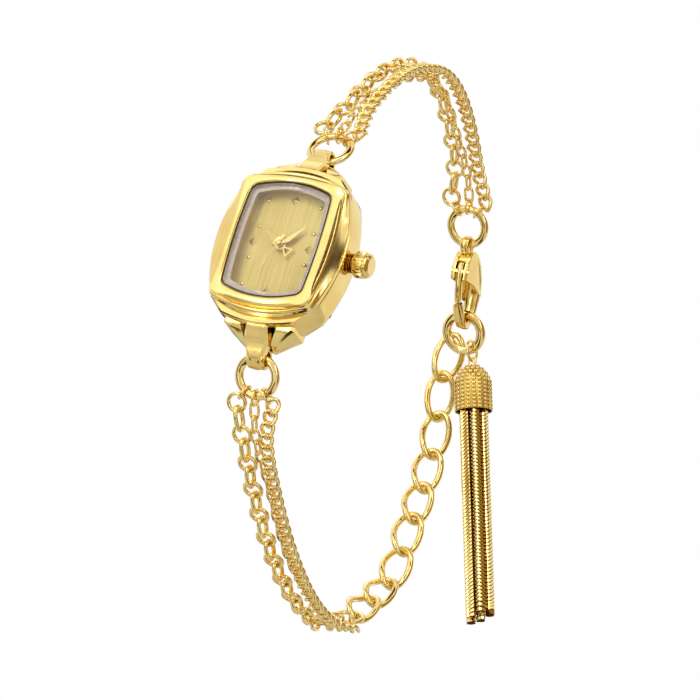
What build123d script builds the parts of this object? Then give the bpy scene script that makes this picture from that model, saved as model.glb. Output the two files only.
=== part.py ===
from build123d import *
from math import ceil, cos, pi, sin, sqrt
import os

# The watch is worn in a closed loop: +X is 3 o'clock, +Z is 12 o'clock, the dial faces -Y
# and the origin is the centre of the case back. Heights are measured from the case back to the dial side.

# Running clearances and the overrun of cuts
seat_gap = 0.05
running_gap = 0.06
link_gap = 0.12
overrun = 1.0

# Case, a tonneau with flattened corners
case_half_width = 8.9
case_half_length = 10.9
case_corner_drop_x = 1.7
case_corner_drop_z = 2.8
case_facet_drop_x = 3.7
case_facet_drop_z = 0.8
case_corner_x = case_half_width - case_corner_drop_x
case_corner_z = case_half_length - case_corner_drop_z
case_facet_x = case_half_width - case_facet_drop_x
case_facet_z = case_half_length - case_facet_drop_z
case_front = 5.9
case_back_round = 0.9
back_thickness = 0.9
back_lip = 0.8
back_lip_wall = 0.7
back_inset = 0.35
case_side_wall = 2.0
case_end_wall = 2.3
cavity_half_width = case_half_width - case_side_wall
cavity_half_length = case_half_length - case_end_wall
cavity_corner = 2.2
back_gasket_width = 0.4
back_gasket_depth = 0.3

# Stepped bezel, its skirt, frame and glass opening
skirt_ledge_x = 0.15
skirt_ledge_z = 0.75
skirt_corner_drop = 1.8
skirt_half_width = case_half_width - skirt_ledge_x
skirt_half_length = case_half_length - skirt_ledge_z
skirt_corner_x = skirt_half_width - skirt_corner_drop
skirt_corner_z = skirt_half_length - skirt_corner_drop
skirt_rise = 0.5
slope_rise = 0.85
crescent_width = 1.8
frame_ledge = 1.0
frame_corner_drop_x = 0.2
frame_corner_drop_z = 1.2
frame_half_width = skirt_half_width - crescent_width
frame_half_length = skirt_half_length - frame_ledge
step_half_length = skirt_half_length - frame_ledge / 2
frame_corner_x = frame_half_width - frame_corner_drop_x
frame_corner_z = frame_half_length - frame_corner_drop_z
frame_front = 7.8
frame_round = 0.35
frame_width_x = 1.2
frame_width_z = 1.25
glass_corner_drop_x = 0.3
glass_corner_drop_z = 1.0
glass_half_width = frame_half_width - frame_width_x
glass_half_length = frame_half_length - frame_width_z
glass_corner_x = glass_half_width - glass_corner_drop_x
glass_corner_z = glass_half_length - glass_corner_drop_z
glass_corner_cut = 0.35
glass_top_chord_count = 6
glass_side_chord_count = 4
gasket_wall = 0.4
glass_thickness = 1.0
glass_bevel = 0.35
glass_back = 6.75
window_inset = 0.65

# Lugs, each a centre strap over a ring loop between two wings, their places told from the case end
bore_beyond = 2.9
bore_z = case_half_length + bore_beyond
bore_height = 1.8
bore_radius = 0.95
barrel_radius = 1.45
barrel_half_width = 1.25
lobe_sunk = 1.3
lobe_edge_beyond = 0.2
lobe_ridge_beyond = 1.55
lobe_tip_beyond = 4.0
lobe_root_z = case_half_length - lobe_sunk
lobe_edge_z = case_half_length + lobe_edge_beyond
lobe_ridge_z = case_half_length + lobe_ridge_beyond
lobe_tip_z = case_half_length + lobe_tip_beyond
lobe_root_height = 5.1
lobe_edge_height = 4.95
lobe_ridge_height = 4.5
lobe_tip_height = 3.0
lobe_thickness = 1.5
lobe_edge_half_width = 1.45
lobe_ridge_half_width = 1.65
lobe_tip_half_width = 0.65
wing_shoulder_sunk = 0.2
wing_end_beyond = 1.9
wing_half_width = 5.0
wing_shoulder_z = case_half_length - wing_shoulder_sunk
wing_end_half_width = 1.9
wing_end_z = case_half_length + wing_end_beyond
wing_root_height = 4.5
wing_end_height = 2.9
wing_back_height = 0.9
notch_width = 0.75
notch_inner_x = 1.6
notch_length = 1.1
notch_depth = 0.9

# Dial, markers and hands, kept inside the window
window_half_width = glass_half_width - window_inset
window_half_length = glass_half_length - window_inset
dial_height = 5.3
dial_thickness = 0.4
marker_edge_x = 1.3
marker_edge_z = 1.0
marker_reach_z = window_half_length - marker_edge_z
marker_reach_x = window_half_width - marker_edge_x
marker_width = 0.95
marker_rise = 0.28
marker_top_share = 0.12
dot_radius = 0.3
dot_corner_count = 8
dot_rise = 0.2
dot_step_x = 0.05
dot_step_z = 0.5
dot_corner_step_x = 0.25
dot_side_share = 0.344
dot_side_x = marker_reach_x - dot_step_x
dot_side_z = marker_reach_z * dot_side_share
dot_corner_x = marker_reach_x - dot_corner_step_x
dot_corner_z = marker_reach_z - dot_step_z
hand_thickness = 0.12
hand_spacing = 0.3
second_hand_edge = 0.7
minute_hand_edge = 1.1
hour_hand_edge = 2.25
second_length = window_half_width - second_hand_edge
minute_length = window_half_width - minute_hand_edge
hour_length = window_half_width - hour_hand_edge
hour_width = 1.15
minute_width = 1.1
hand_belly_share = 0.3
hand_hub_radius = 0.5
second_hub_radius = 0.32
second_width = 0.12
second_tail = 1.2
second_tail_width = 0.34
hour_tail = 1.9
hour_tail_width = 1.5
hour_tail_frame = 0.2
hour_angle = 303.8
minute_angle = 45.6
second_angle = 200.0

# Quartz movement in its holder
holder_side_wall = 0.45
holder_end_wall = 0.95
movement_half_width = cavity_half_width - holder_side_wall
movement_half_length = cavity_half_length - holder_end_wall
movement_corner = 1.5
wheel_corner_count = 12
pinion_corner_count = 6
plate_thickness = 0.9
movement_back = 2.0
bridge_thickness = 0.3
motion_recess = 0.5
motion_recess_radius = 2.9
holder_wall_gap = 0.1
battery_thickness = 1.9
battery_edge_gap = 0.3
battery_wheel_gap = 0.1
coil_radius = 0.75
coil_x = -0.6
coil_edge_gap = 0.5
coil_z = movement_half_length - coil_radius - coil_edge_gap
core_radius = 0.3
core_side_gap = 1.75
core_length = 2 * (movement_half_width - core_side_gap)
core_end_length = 1.2
coil_length = core_length - 2 * core_end_length
stator_thickness = 0.3
stator_width = 1.9
stator_hole_radius = 0.95
rotor_radius = 0.7
wheel_thickness = 0.15
pinion_thickness = 0.25
arbor_radius = 0.12
second_arbor_radius = 0.16
minute_tube_radius = 0.36
hour_tube_radius = 0.62
train_distance = 1.55
centre_wheel_radius = 1.2
second_wheel_radius = 1.3
third_wheel_radius = 1.15
small_pinion_radius = 0.33
hour_wheel_radius = 1.18
minute_wheel_radius = 1.05
cannon_radius = 0.48
mesh_gap = 0.03
third_wheel_bearing = 20
minute_wheel_bearing = 315
intermediate_bearing = 160
rotor_bearing = 115
intermediate_radius = 1.15
rotor_distance = 1.55
screw_radius = 0.35
screw_head_radius = 0.6
screw_head_height = 0.25

# Crown, stem and keyless works
crown_height = 3.3
crown_radius = 1.7
crown_flute_depth = 0.16
crown_flutes = 20
tube_corner_count = 8
crown_standoff = 0.6
crown_start = case_half_width + crown_standoff
crown_fluted_length = 1.5
crown_cap_length = 0.65
crown_cap_end_radius = 1.2
crown_bore_depth = 0.9
tube_radius = 1.0
tube_bore_radius = 0.62
tube_collar_radius = 1.25
tube_collar_length = 0.2
stem_radius = 0.36
stem_inner_end = 3.2
stem_gasket_length = 0.5
stem_groove_inset = 1.45
stem_groove_start = movement_half_width - stem_groove_inset
stem_groove_length = 0.45
stem_groove_radius = 0.22
crown_pull = 0.8
clutch_radius = 0.62
clutch_length = 0.9
lever_width = 1.5
lever_drop = 1.2

# Rings of the bracelet
upper_ring_outer = 6.1
lower_ring_outer = 5.75
lug_ring_wire = 0.9
lug_ring_slack = 0.07
ring_corner_count = 12
link_corner_count = 6
open_link_corner_count = 8
fine_link_corner_count = 4
band_share = 0.8
clasp_ring_outer = 5.9
clasp_ring_wire = 0.9
end_ring_outer = 6.3
end_ring_wire = 1.3
joining_ring_outer = 4.6
joining_ring_wire = 0.7
strand_ring_outer = 2.4
strand_ring_wire = 0.4
strand_foot_share = 0.57

# Three strands on each side, as links
round_link_outer = 2.85
oval_link_length = 3.66
oval_link_width = 2.3
belcher_wire = 0.38
belcher_band = 0.6
curb_link_length = 2.66
curb_link_width = 2.2
curb_wire = 0.43
cable_link_length = 2.6
cable_link_width = 1.5
cable_wire = 0.32
strand_spread = 2.1
cable_offset = 1.3
flat_roll = 0
edge_roll = 90
curb_roll = 45

# Extension chain of open curb links
extension_link_length = 7.4
extension_link_width = 4.2
extension_wire = 0.74
extension_band = 0.59
extension_links = 9
extension_twist_links = 2.5
extension_end_gap = 0.65
extension_fall_share = 0.8
end_ring_edge = 0.3

# Route of the loop behind the case, as shares of its depth and of its rise
loop_depth = 61.0
loop_rise = 39.6
upper_route_shares = [
    (0.05, 0.62), (0.144, 0.80), (0.25, 0.92), (0.36, 0.985), (0.475, 0.985), (0.57, 0.94), (0.65, 0.86),
]
lower_route_shares = [
    (0.655, -0.81), (0.58, -0.825), (0.47, -0.81), (0.32, -0.75), (0.16, -0.645), (0.055, -0.565)
]
extension_route_shares = [(-0.034, 0.99, 0.209), (-0.021, 0.999, -0.072), (-0.003, 0.955, -0.329)]
clasp_lean_shares = (0.624, -0.781)
clasp_ring_place_shares = (0.766, 0.718)
end_ring_foot_share = 0.5
joining_ring_place_shares = (0.782, -0.727)
joining_ring_lean_shares = (-0.75, -0.66)

# Lobster clasp
clasp_length = 13.1
clasp_half_width = 3.0
clasp_thickness = 2.6
hook_thickness = 1.5
clasp_corner_count = 16
eye_radius = 1.3
eye_bore_radius = 0.75
eye_thickness = 1.2
hook_wall = 1.15
spine_wall = 1.15
lever_thickness = 0.95
clasp_lever_start = 3.1
clasp_lever_end = 8.9
clasp_cheek_end = 6.2
lever_pivot = 4.5
lever_depth = 1.0
lever_tail_gap = 0.5
rivet_radius = 0.35
clasp_spring_leaf = 0.2
clasp_spring_width = 0.6

# Tassel on the end ring
tassel_lean_shares = (0.261, 0.198, -0.945)
tassel_ring_outer = 3.2
tassel_ring_wire = 0.42
tassel_ring_gap = 0.28
cap_eye_outer = 1.4
cap_eye_wire = 0.3
cap_radius = 2.65
cap_wall = 0.28
cap_length = 6.4
cap_dome_length = 2.2
cap_top_radius = 0.9
cap_corner_count = 16
tassel_chains = 6
tassel_chain_radius = 0.55
tassel_chain_length = 29.5
tassel_chain_circle = 1.45
tassel_swing_room = 2.0


def level(height):
    """A sketch plane at a height above the case back, facing the wearer's eye."""
    return Plane.XZ.offset(height)


def tonneau(half_width, half_length, corner_x, corner_z, inset=0):
    """An outline of four shallow arcs that meet at its corners."""
    side = half_width - inset
    top = half_length - inset
    x = corner_x - inset
    z = corner_z - inset
    with BuildSketch() as outline:
        with BuildLine():
            ThreePointArc((-x, -z), (-side, 0), (-x, z))
            ThreePointArc((-x, z), (0, top), (x, z))
            ThreePointArc((x, z), (side, 0), (x, -z))
            ThreePointArc((x, -z), (0, -top), (-x, -z))
        make_face()
    return outline.sketch


def bowed(half, edge, peak, chords):
    """Corners along a shallow bow from -half to half, at edge by its ends and at peak in the middle."""
    shares = [2 * k / chords - 1 for k in range(chords + 1)]
    return [(half * share, edge + (peak - edge) * (1 - share**2)) for share in shares]


def glass_outline(inset=0):
    """The glass opening in short chords, with its corners cut."""
    x = glass_corner_x - inset
    z = glass_corner_z - inset
    top = bowed(x - glass_corner_cut, z, glass_half_length - inset, glass_top_chord_count)
    side = bowed(z - glass_corner_cut, x, glass_half_width - inset, glass_side_chord_count)
    half = top + [(across_side, -along) for along, across_side in side]
    with BuildSketch() as outline:
        with BuildLine():
            Polyline(half + [(-x, -z) for x, z in half], close=True)
        make_face()
    return outline.sketch


def cut_corner_outline(half_width, half_length, corner):
    with BuildSketch() as outline:
        Rectangle(2 * half_width, 2 * half_length)
        chamfer(outline.vertices(), corner)
    return outline.sketch


def cavity_outline(inset=0):
    half_width = cavity_half_width - inset
    half_length = cavity_half_length - inset
    return cut_corner_outline(half_width, half_length, cavity_corner - inset / 2)


def clear_bore(radius, corners=pinion_corner_count):
    """Cuts the room a round piece of a radius needs to turn or to be put in."""
    RegularPolygon(radius + running_gap, corners, major_radius=False, mode=Mode.SUBTRACT)


def skirt_outline():
    return tonneau(skirt_half_width, skirt_half_length, skirt_corner_x, skirt_corner_z)


def case_outline(inset=0):
    with BuildSketch() as outline:
        with BuildLine():
            for turn in (-1, 1):
                side_start = (turn * case_corner_x, turn * case_corner_z)
                side_end = (turn * case_corner_x, -turn * case_corner_z)
                facet_end = (turn * case_facet_x, -turn * case_facet_z)
                end_end = (-turn * case_facet_x, -turn * case_facet_z)
                ThreePointArc(side_start, (turn * case_half_width, 0), side_end)
                Line(side_end, facet_end)
                ThreePointArc(facet_end, (0, -turn * case_half_length), end_end)
                Line(end_end, (-turn * case_corner_x, -turn * case_corner_z))
        make_face()
        if inset:
            offset(amount=-inset, kind=Kind.INTERSECTION)
    return outline.sketch


def save(part, name):
    part.label = name
    export_step(part, f"parts/{name}.step")


os.makedirs("parts", exist_ok=True)

# Lug pieces, modelled at 12 o'clock
lobe_side = [
    (-lobe_root_height, lobe_root_z),
    (-lobe_edge_height, lobe_edge_z),
    (-lobe_ridge_height, lobe_ridge_z),
    (-lobe_tip_height, lobe_tip_z),
    (-lobe_tip_height + lobe_thickness, lobe_tip_z - barrel_radius / 2),
    (-lobe_ridge_height + lobe_thickness, lobe_ridge_z - lobe_thickness / 2),
    (-lobe_root_height + lobe_thickness, lobe_root_z),
]
lobe_plan = [
    (-lobe_edge_half_width, lobe_root_z),
    (-lobe_edge_half_width, lobe_edge_z),
    (-lobe_ridge_half_width, lobe_ridge_z),
    (-lobe_tip_half_width, lobe_tip_z),
    (lobe_tip_half_width, lobe_tip_z),
    (lobe_ridge_half_width, lobe_ridge_z),
    (lobe_edge_half_width, lobe_edge_z),
    (lobe_edge_half_width, lobe_root_z),
]
with BuildPart() as lug_lobe:
    with BuildSketch(Plane.YZ):
        with BuildLine():
            Polyline(lobe_side, close=True)
        make_face()
    extrude(amount=lobe_ridge_half_width, both=True)
    with BuildSketch(level(0)):
        with BuildLine():
            Polyline(lobe_plan, close=True)
        make_face()
    extrude(amount=case_front, mode=Mode.INTERSECT)

wing_side = [
    (-wing_root_height, lobe_root_z),
    (-wing_root_height, wing_shoulder_z),
    (-wing_end_height, wing_end_z),
    (-wing_back_height, wing_end_z),
    (-wing_back_height, lobe_root_z),
]
wing_plan = [
    (-wing_half_width, lobe_root_z),
    (-wing_half_width, wing_shoulder_z),
    (-wing_end_half_width, wing_end_z),
    (wing_end_half_width, wing_end_z),
    (wing_half_width, wing_shoulder_z),
    (wing_half_width, lobe_root_z),
]
with BuildPart() as lug_wings:
    with BuildSketch(Plane.YZ):
        with BuildLine():
            Polyline(wing_side, close=True)
        make_face()
    extrude(amount=wing_half_width, both=True)
    with BuildSketch(level(0)):
        with BuildLine():
            Polyline(wing_plan, close=True)
        make_face()
    extrude(amount=case_front, mode=Mode.INTERSECT)
    with BuildSketch(level(wing_root_height - notch_depth)):
        for side in (-1, 1):
            with BuildLine():
                Polyline(
                    (side * notch_inner_x, case_half_length - notch_length / 2),
                    (side * (notch_inner_x + notch_width), case_half_length - notch_length / 2),
                    (side * notch_inner_x, case_half_length + notch_length),
                    close=True,
                )
            make_face()
    extrude(amount=notch_depth + overrun, mode=Mode.SUBTRACT)

with BuildPart() as lug:
    add(lug_lobe.part)
    add(lug_wings.part)
    with BuildSketch(Plane.YZ):
        with Locations((-bore_height, bore_z)):
            RegularPolygon(barrel_radius, ring_corner_count)
    extrude(amount=barrel_half_width, both=True)
    with BuildSketch(Plane.YZ):
        with Locations((-bore_height, bore_z)):
            Circle(bore_radius)
    extrude(amount=wing_half_width, both=True, mode=Mode.SUBTRACT)

# Case middle with both lugs, open at the back for the movement and in front for the glass
with BuildPart() as mid_case:
    with BuildSketch(level(back_thickness)):
        add(case_outline())
    extrude(amount=case_front - back_thickness)
    back_rim = mid_case.faces().sort_by(Axis.Y)[-1].outer_wire().edges()
    chamfer(back_rim, case_back_round)
    add(lug.part)
    mirror(lug.part, about=Plane.XY)
    with BuildSketch(level(back_thickness)):
        add(cavity_outline())
    extrude(amount=dial_height - back_thickness, mode=Mode.SUBTRACT)
    with BuildSketch(level(dial_height)):
        add(glass_outline())
    extrude(amount=case_front - dial_height, mode=Mode.SUBTRACT)
    with BuildSketch(level(back_thickness)):
        add(cavity_outline(-back_gasket_width))
        add(cavity_outline(), mode=Mode.SUBTRACT)
    extrude(amount=back_gasket_depth, mode=Mode.SUBTRACT)
    with BuildSketch(Plane.YZ.offset(cavity_half_width - seat_gap)):
        with Locations((-crown_height, 0)):
            RegularPolygon(tube_radius, tube_corner_count)
    extrude(amount=case_half_width, mode=Mode.SUBTRACT)
save(mid_case.part, "mid_case")

# Bezel: a low skirt, slopes that leave a crescent on each long side, and the raised frame
skirt_front = case_front + skirt_rise
slope_front = skirt_front + slope_rise
with BuildPart() as bezel_slopes:
    with BuildSketch(level(case_front)):
        add(skirt_outline())
    extrude(amount=slope_front - case_front)
    with BuildSketch(Plane.XY):
        with BuildLine():
            Polyline(
                (-skirt_half_width, -case_front),
                (-skirt_half_width, -skirt_front),
                (-frame_half_width, -slope_front),
                (frame_half_width, -slope_front),
                (skirt_half_width, -skirt_front),
                (skirt_half_width, -case_front),
                close=True,
            )
        make_face()
    extrude(amount=frame_corner_z, both=True, mode=Mode.INTERSECT)

with BuildPart() as bezel:
    with BuildSketch(level(case_front)):
        add(skirt_outline())
    extrude(amount=skirt_rise)
    add(bezel_slopes.part)
    with BuildSketch(level(skirt_front)):
        add(tonneau(frame_half_width, step_half_length, frame_corner_x, frame_corner_z))
    extrude(amount=slope_rise / 2)
    with BuildSketch(level(skirt_front)):
        add(tonneau(frame_half_width, frame_half_length, frame_corner_x, frame_corner_z))
    extrude(amount=frame_front - skirt_front)
    frame_rim = bezel.faces().sort_by(Axis.Y)[0].outer_wire().edges()
    chamfer(frame_rim, frame_round)
    with BuildSketch(level(case_front)):
        add(glass_outline())
    extrude(amount=frame_front - case_front, mode=Mode.SUBTRACT)
save(bezel.part, "bezel")

# Glass, its gasket and the flange ring between glass and dial
with BuildPart() as crystal:
    with BuildSketch(level(glass_back)):
        add(glass_outline(gasket_wall))
    extrude(amount=glass_thickness)
    chamfer(crystal.faces().sort_by(Axis.Y)[0].outer_wire().edges(), glass_bevel)
save(crystal.part, "crystal")

with BuildPart() as crystal_gasket:
    with BuildSketch(level(glass_back)):
        add(glass_outline(seat_gap))
        add(glass_outline(gasket_wall), mode=Mode.SUBTRACT)
    extrude(amount=glass_thickness - glass_bevel)
save(crystal_gasket.part, "crystal_gasket")

with BuildPart() as dial_ring:
    with BuildSketch(level(dial_height)):
        add(glass_outline(seat_gap))
        add(glass_outline(window_inset), mode=Mode.SUBTRACT)
    extrude(amount=glass_back - dial_height)
save(dial_ring.part, "dial_ring")

# Dial plate with its applied markers
with BuildPart() as dial:
    with BuildSketch(level(dial_height - dial_thickness)):
        add(cavity_outline(seat_gap))
        RegularPolygon(hour_tube_radius + hand_thickness, tube_corner_count, mode=Mode.SUBTRACT)
    extrude(amount=dial_thickness)
save(dial.part, "dial")

pyramid_places = [(0, marker_reach_z), (0, -marker_reach_z), (marker_reach_x, 0), (-marker_reach_x, 0)]
dot_places = [(sx * dot_side_x, sz * dot_side_z) for sx in (-1, 1) for sz in (-1, 1)]
dot_places += [(sx * dot_corner_x, sz * dot_corner_z) for sx in (-1, 1) for sz in (-1, 1)]
top_width = marker_width * marker_top_share
top_start = (marker_width - top_width) / 2
top_end = top_start + top_width
with BuildPart() as pyramid:
    Wedge(
        marker_width, marker_rise, marker_width, top_start, top_start, top_end, top_end,
        rotation=(0, 45, 0), align=(Align.CENTER, Align.MIN, Align.CENTER),
    )
with BuildPart() as dot:
    with BuildSketch(level(dial_height)):
        RegularPolygon(dot_radius, dot_corner_count)
    extrude(amount=dot_rise)
with BuildPart() as dial_markers:
    with Locations(*[(x, -dial_height, z) for x, z in pyramid_places]):
        add(pyramid.part.rotate(Axis.X, 180))
    with Locations(*[(x, 0, z) for x, z in dot_places]):
        add(dot.part)
save(dial_markers.part, "dial_markers")

# Hands, stacked in front of the dial
hour_hand_height = dial_height + marker_rise + hand_spacing / 2
minute_hand_height = hour_hand_height + hand_spacing
second_hand_height = minute_hand_height + hand_spacing


def pointing(angle, height):
    """A sketch plane whose +Y points at a clock angle, at a height above the case back."""
    turn = angle * pi / 180
    return Plane(origin=(0, -height, 0), x_dir=(cos(turn), 0, -sin(turn)), z_dir=(0, -1, 0))


def dauphine(length, width, hub_radius):
    belly = length * hand_belly_share
    with BuildSketch() as outline:
        with BuildLine():
            Polyline((0, -hub_radius), (-width / 2, belly), (0, length), (width / 2, belly), close=True)
        make_face()
        RegularPolygon(hub_radius, tube_corner_count)
    return outline.sketch


with BuildPart() as hour_hand:
    with BuildSketch(pointing(hour_angle, hour_hand_height)):
        add(dauphine(hour_length, hour_width, hour_tube_radius + hand_thickness))
        with BuildLine():
            Polyline(
                (0, 0), (-hour_tail_width / 2, -hour_tail), (hour_tail_width / 2, -hour_tail), close=True
            )
        make_face()
        with BuildLine():
            Polyline(
                (0, -hour_tube_radius - 2 * hour_tail_frame),
                (-hour_tail_width / 2 + 2 * hour_tail_frame, -hour_tail + hour_tail_frame),
                (hour_tail_width / 2 - 2 * hour_tail_frame, -hour_tail + hour_tail_frame),
                close=True,
            )
        make_face(mode=Mode.SUBTRACT)
        clear_bore(minute_tube_radius)
    extrude(amount=hand_thickness)
save(hour_hand.part, "hour_hand")

with BuildPart() as minute_hand:
    with BuildSketch(pointing(minute_angle, minute_hand_height)):
        add(dauphine(minute_length, minute_width, hand_hub_radius))
        clear_bore(second_arbor_radius)
    extrude(amount=hand_thickness)
save(minute_hand.part, "minute_hand")

with BuildPart() as second_hand:
    with BuildSketch(pointing(second_angle, second_hand_height)):
        with Locations((0, second_length / 2)):
            Rectangle(second_width, second_length)
        with Locations((0, -second_tail / 2)):
            Rectangle(second_tail_width, second_tail)
        RegularPolygon(second_hub_radius, tube_corner_count)
    extrude(amount=hand_thickness)
save(second_hand.part, "second_hand")

# Heights in the movement, from its back to the dial
plate_back = dial_height - dial_thickness - plate_thickness
bridge_back = movement_back
bridge_front = bridge_back + bridge_thickness
recess_back = dial_height - dial_thickness - motion_recess
second_wheel_height = bridge_front + running_gap
third_wheel_height = second_wheel_height + wheel_thickness + pinion_thickness / 2
centre_wheel_height = third_wheel_height + wheel_thickness + pinion_thickness / 2
minute_wheel_height = recess_back + running_gap
hour_wheel_height = minute_wheel_height + wheel_thickness + running_gap


def bearing_place(radius, bearing, start=(0, 0)):
    return start[0] + radius * cos(bearing * pi / 180), start[1] + radius * sin(bearing * pi / 180)


third_place = bearing_place(train_distance, third_wheel_bearing)
minute_wheel_place = bearing_place(train_distance, minute_wheel_bearing)
intermediate_place = bearing_place(second_wheel_radius + small_pinion_radius, intermediate_bearing)
rotor_place = bearing_place(rotor_distance, rotor_bearing, intermediate_place)


def corner_disc_radius(place, clearance):
    """The disc that fills the battery's corner of the movement up to a wheel standing at a place."""
    reach_x = movement_half_width - battery_edge_gap + place[0]
    reach_z = movement_half_length - battery_edge_gap + place[1]
    reach = reach_x + reach_z + clearance
    return reach - (reach**2 - reach_x**2 - reach_z**2 + clearance**2) ** 0.5


battery_radius = min(
    corner_disc_radius((0, 0), second_wheel_radius + battery_wheel_gap),
    corner_disc_radius(intermediate_place, intermediate_radius + battery_wheel_gap),
)
battery_x = battery_radius + battery_edge_gap - movement_half_width
battery_z = battery_radius + battery_edge_gap - movement_half_length
screw_places = [
    (movement_half_width - movement_corner, -movement_half_length + movement_corner),
    (movement_half_width - movement_corner, movement_half_length - movement_corner),
    (-movement_half_width + movement_corner, rotor_place[1] - train_distance),
]


def movement_outline():
    return cut_corner_outline(movement_half_width, movement_half_length, movement_corner)


with BuildPart() as movement_holder:
    with BuildSketch(level(movement_back)):
        add(cavity_outline(holder_wall_gap))
        add(movement_outline(), mode=Mode.SUBTRACT)
    extrude(amount=dial_height - dial_thickness - movement_back)
    with BuildSketch(Plane.YZ):
        with Locations((-crown_height, 0)):
            RegularPolygon(tube_bore_radius, tube_corner_count)
    extrude(amount=case_half_width, mode=Mode.SUBTRACT)
save(movement_holder.part, "movement_holder")

with BuildPart() as main_plate:
    with BuildSketch(level(plate_back)):
        add(movement_outline())
    extrude(amount=plate_thickness)
    with BuildSketch(level(recess_back)):
        RegularPolygon(motion_recess_radius, wheel_corner_count, major_radius=False)
    extrude(amount=motion_recess, mode=Mode.SUBTRACT)
    with BuildSketch(level(plate_back)):
        RegularPolygon(minute_tube_radius + running_gap, pinion_corner_count, major_radius=False)
        with Locations(minute_wheel_place):
            RegularPolygon(arbor_radius + running_gap, pinion_corner_count, major_radius=False)
    extrude(amount=plate_thickness, mode=Mode.SUBTRACT)
    with BuildSketch(level(bridge_front)):
        with Locations(*screw_places):
            RegularPolygon(screw_head_radius, pinion_corner_count)
    extrude(amount=plate_back - bridge_front)
    with BuildSketch(level(bridge_front)):
        with Locations(*screw_places):
            RegularPolygon(screw_radius, pinion_corner_count)
    extrude(amount=plate_back - bridge_front, mode=Mode.SUBTRACT)
    with BuildSketch(level(plate_back)):
        with Locations(third_place, intermediate_place, rotor_place):
            RegularPolygon(arbor_radius + running_gap, pinion_corner_count, major_radius=False)
    extrude(amount=bridge_thickness, mode=Mode.SUBTRACT)
save(main_plate.part, "main_plate")

with BuildPart() as train_bridge:
    with BuildSketch(level(bridge_back)):
        with BuildLine():
            Polyline(
                (movement_half_width, -movement_half_length + 2 * movement_corner),
                (movement_half_width, movement_half_length - movement_corner / 2),
                (movement_half_width - 2 * movement_corner, movement_half_length - movement_corner / 2),
                (rotor_place[0], rotor_place[1] + rotor_radius),
                (-movement_half_width, rotor_place[1]),
                (-movement_half_width, -train_distance / 2),
                (battery_x + battery_radius, -train_distance / 2),
                close=True,
            )
        make_face()
        add(movement_outline(), mode=Mode.INTERSECT)
        with Locations(screw_places[1], screw_places[2]):
            RegularPolygon(screw_radius, pinion_corner_count, mode=Mode.SUBTRACT)
        with Locations((battery_x, battery_z)):
            clear_bore(battery_radius, 2 * wheel_corner_count)
        with Locations((0, 0), third_place, intermediate_place, rotor_place):
            clear_bore(arbor_radius)
    extrude(amount=bridge_thickness)
save(train_bridge.part, "train_bridge")

with BuildPart() as circuit_board:
    with BuildSketch(level(bridge_back)):
        with BuildLine():
            Polyline(
                (battery_x + battery_radius / 2, -movement_half_length + seat_gap),
                (movement_half_width - movement_corner / 2, -movement_half_length + seat_gap),
                (movement_half_width - seat_gap, -movement_half_length + 2 * movement_corner - seat_gap),
                (battery_x + battery_radius / 2, -movement_half_length + 2 * movement_corner - seat_gap),
                close=True,
            )
        make_face()
        add(movement_outline(), mode=Mode.INTERSECT)
        with Locations(screw_places[0]):
            RegularPolygon(screw_radius, pinion_corner_count, mode=Mode.SUBTRACT)
        with Locations((battery_x, battery_z)):
            clear_bore(battery_radius, 2 * wheel_corner_count)
    extrude(amount=bridge_thickness)
save(circuit_board.part, "circuit_board")

with BuildPart() as movement_screws:
    with BuildSketch(level(bridge_back - screw_head_height)):
        with Locations(*screw_places):
            RegularPolygon(screw_head_radius, pinion_corner_count)
    extrude(amount=screw_head_height)
    with BuildSketch(level(bridge_back)):
        with Locations(*screw_places):
            RegularPolygon(screw_radius - seat_gap / 2, pinion_corner_count)
    extrude(amount=plate_back - bridge_back)
save(movement_screws.part, "movement_screws")

with BuildPart() as battery:
    with BuildSketch(level(plate_back - battery_thickness)):
        with Locations((battery_x, battery_z)):
            RegularPolygon(battery_radius, 2 * wheel_corner_count)
    extrude(amount=battery_thickness)
save(battery.part, "battery")

with BuildPart() as battery_strap:
    with BuildSketch(level(plate_back - battery_thickness - bridge_thickness)):
        with Locations((battery_x, battery_z)):
            Rectangle(stator_width, 2 * battery_radius)
    extrude(amount=bridge_thickness)
save(battery_strap.part, "battery_strap")

# Stepping motor: coil on its core, stator plate and magnet rotor
coil_height = plate_back - coil_radius - running_gap
with BuildPart() as coil:
    with BuildSketch(Plane.YZ.offset(coil_x - coil_length / 2)):
        with Locations((-coil_height, coil_z)):
            RegularPolygon(coil_radius, wheel_corner_count)
            RegularPolygon(core_radius, pinion_corner_count, mode=Mode.SUBTRACT)
    extrude(amount=coil_length)
save(coil.part, "coil")

stator_height = plate_back - stator_thickness
with BuildPart() as stator:
    with BuildSketch(Plane.YZ.offset(coil_x - core_length / 2)):
        with Locations((-coil_height, coil_z)):
            RegularPolygon(core_radius, pinion_corner_count)
    extrude(amount=core_length)
    with BuildSketch(level(coil_height - core_radius)):
        for side in (-1, 1):
            with Locations((coil_x + side * (coil_length + core_length) / 4, coil_z - coil_radius / 2)):
                Rectangle((core_length - coil_length) / 2 - seat_gap, 3 * coil_radius)
    extrude(amount=plate_back - coil_height + core_radius)
    with BuildSketch(level(stator_height)):
        with Locations((coil_x, rotor_place[1])):
            Rectangle(core_length, stator_width)
        for side in (-1, 1):
            with BuildLine():
                Polyline(
                    (coil_x + side * core_length / 2, rotor_place[1]),
                    (coil_x + side * core_length / 2, coil_z - coil_radius),
                    (coil_x + side * coil_length / 2, coil_z - coil_radius),
                    (coil_x + side * coil_length / 2, rotor_place[1]),
                    close=True,
                )
            make_face()
        with Locations(rotor_place):
            RegularPolygon(stator_hole_radius, wheel_corner_count, major_radius=False, mode=Mode.SUBTRACT)
    extrude(amount=stator_thickness)
save(stator.part, "stator")


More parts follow.
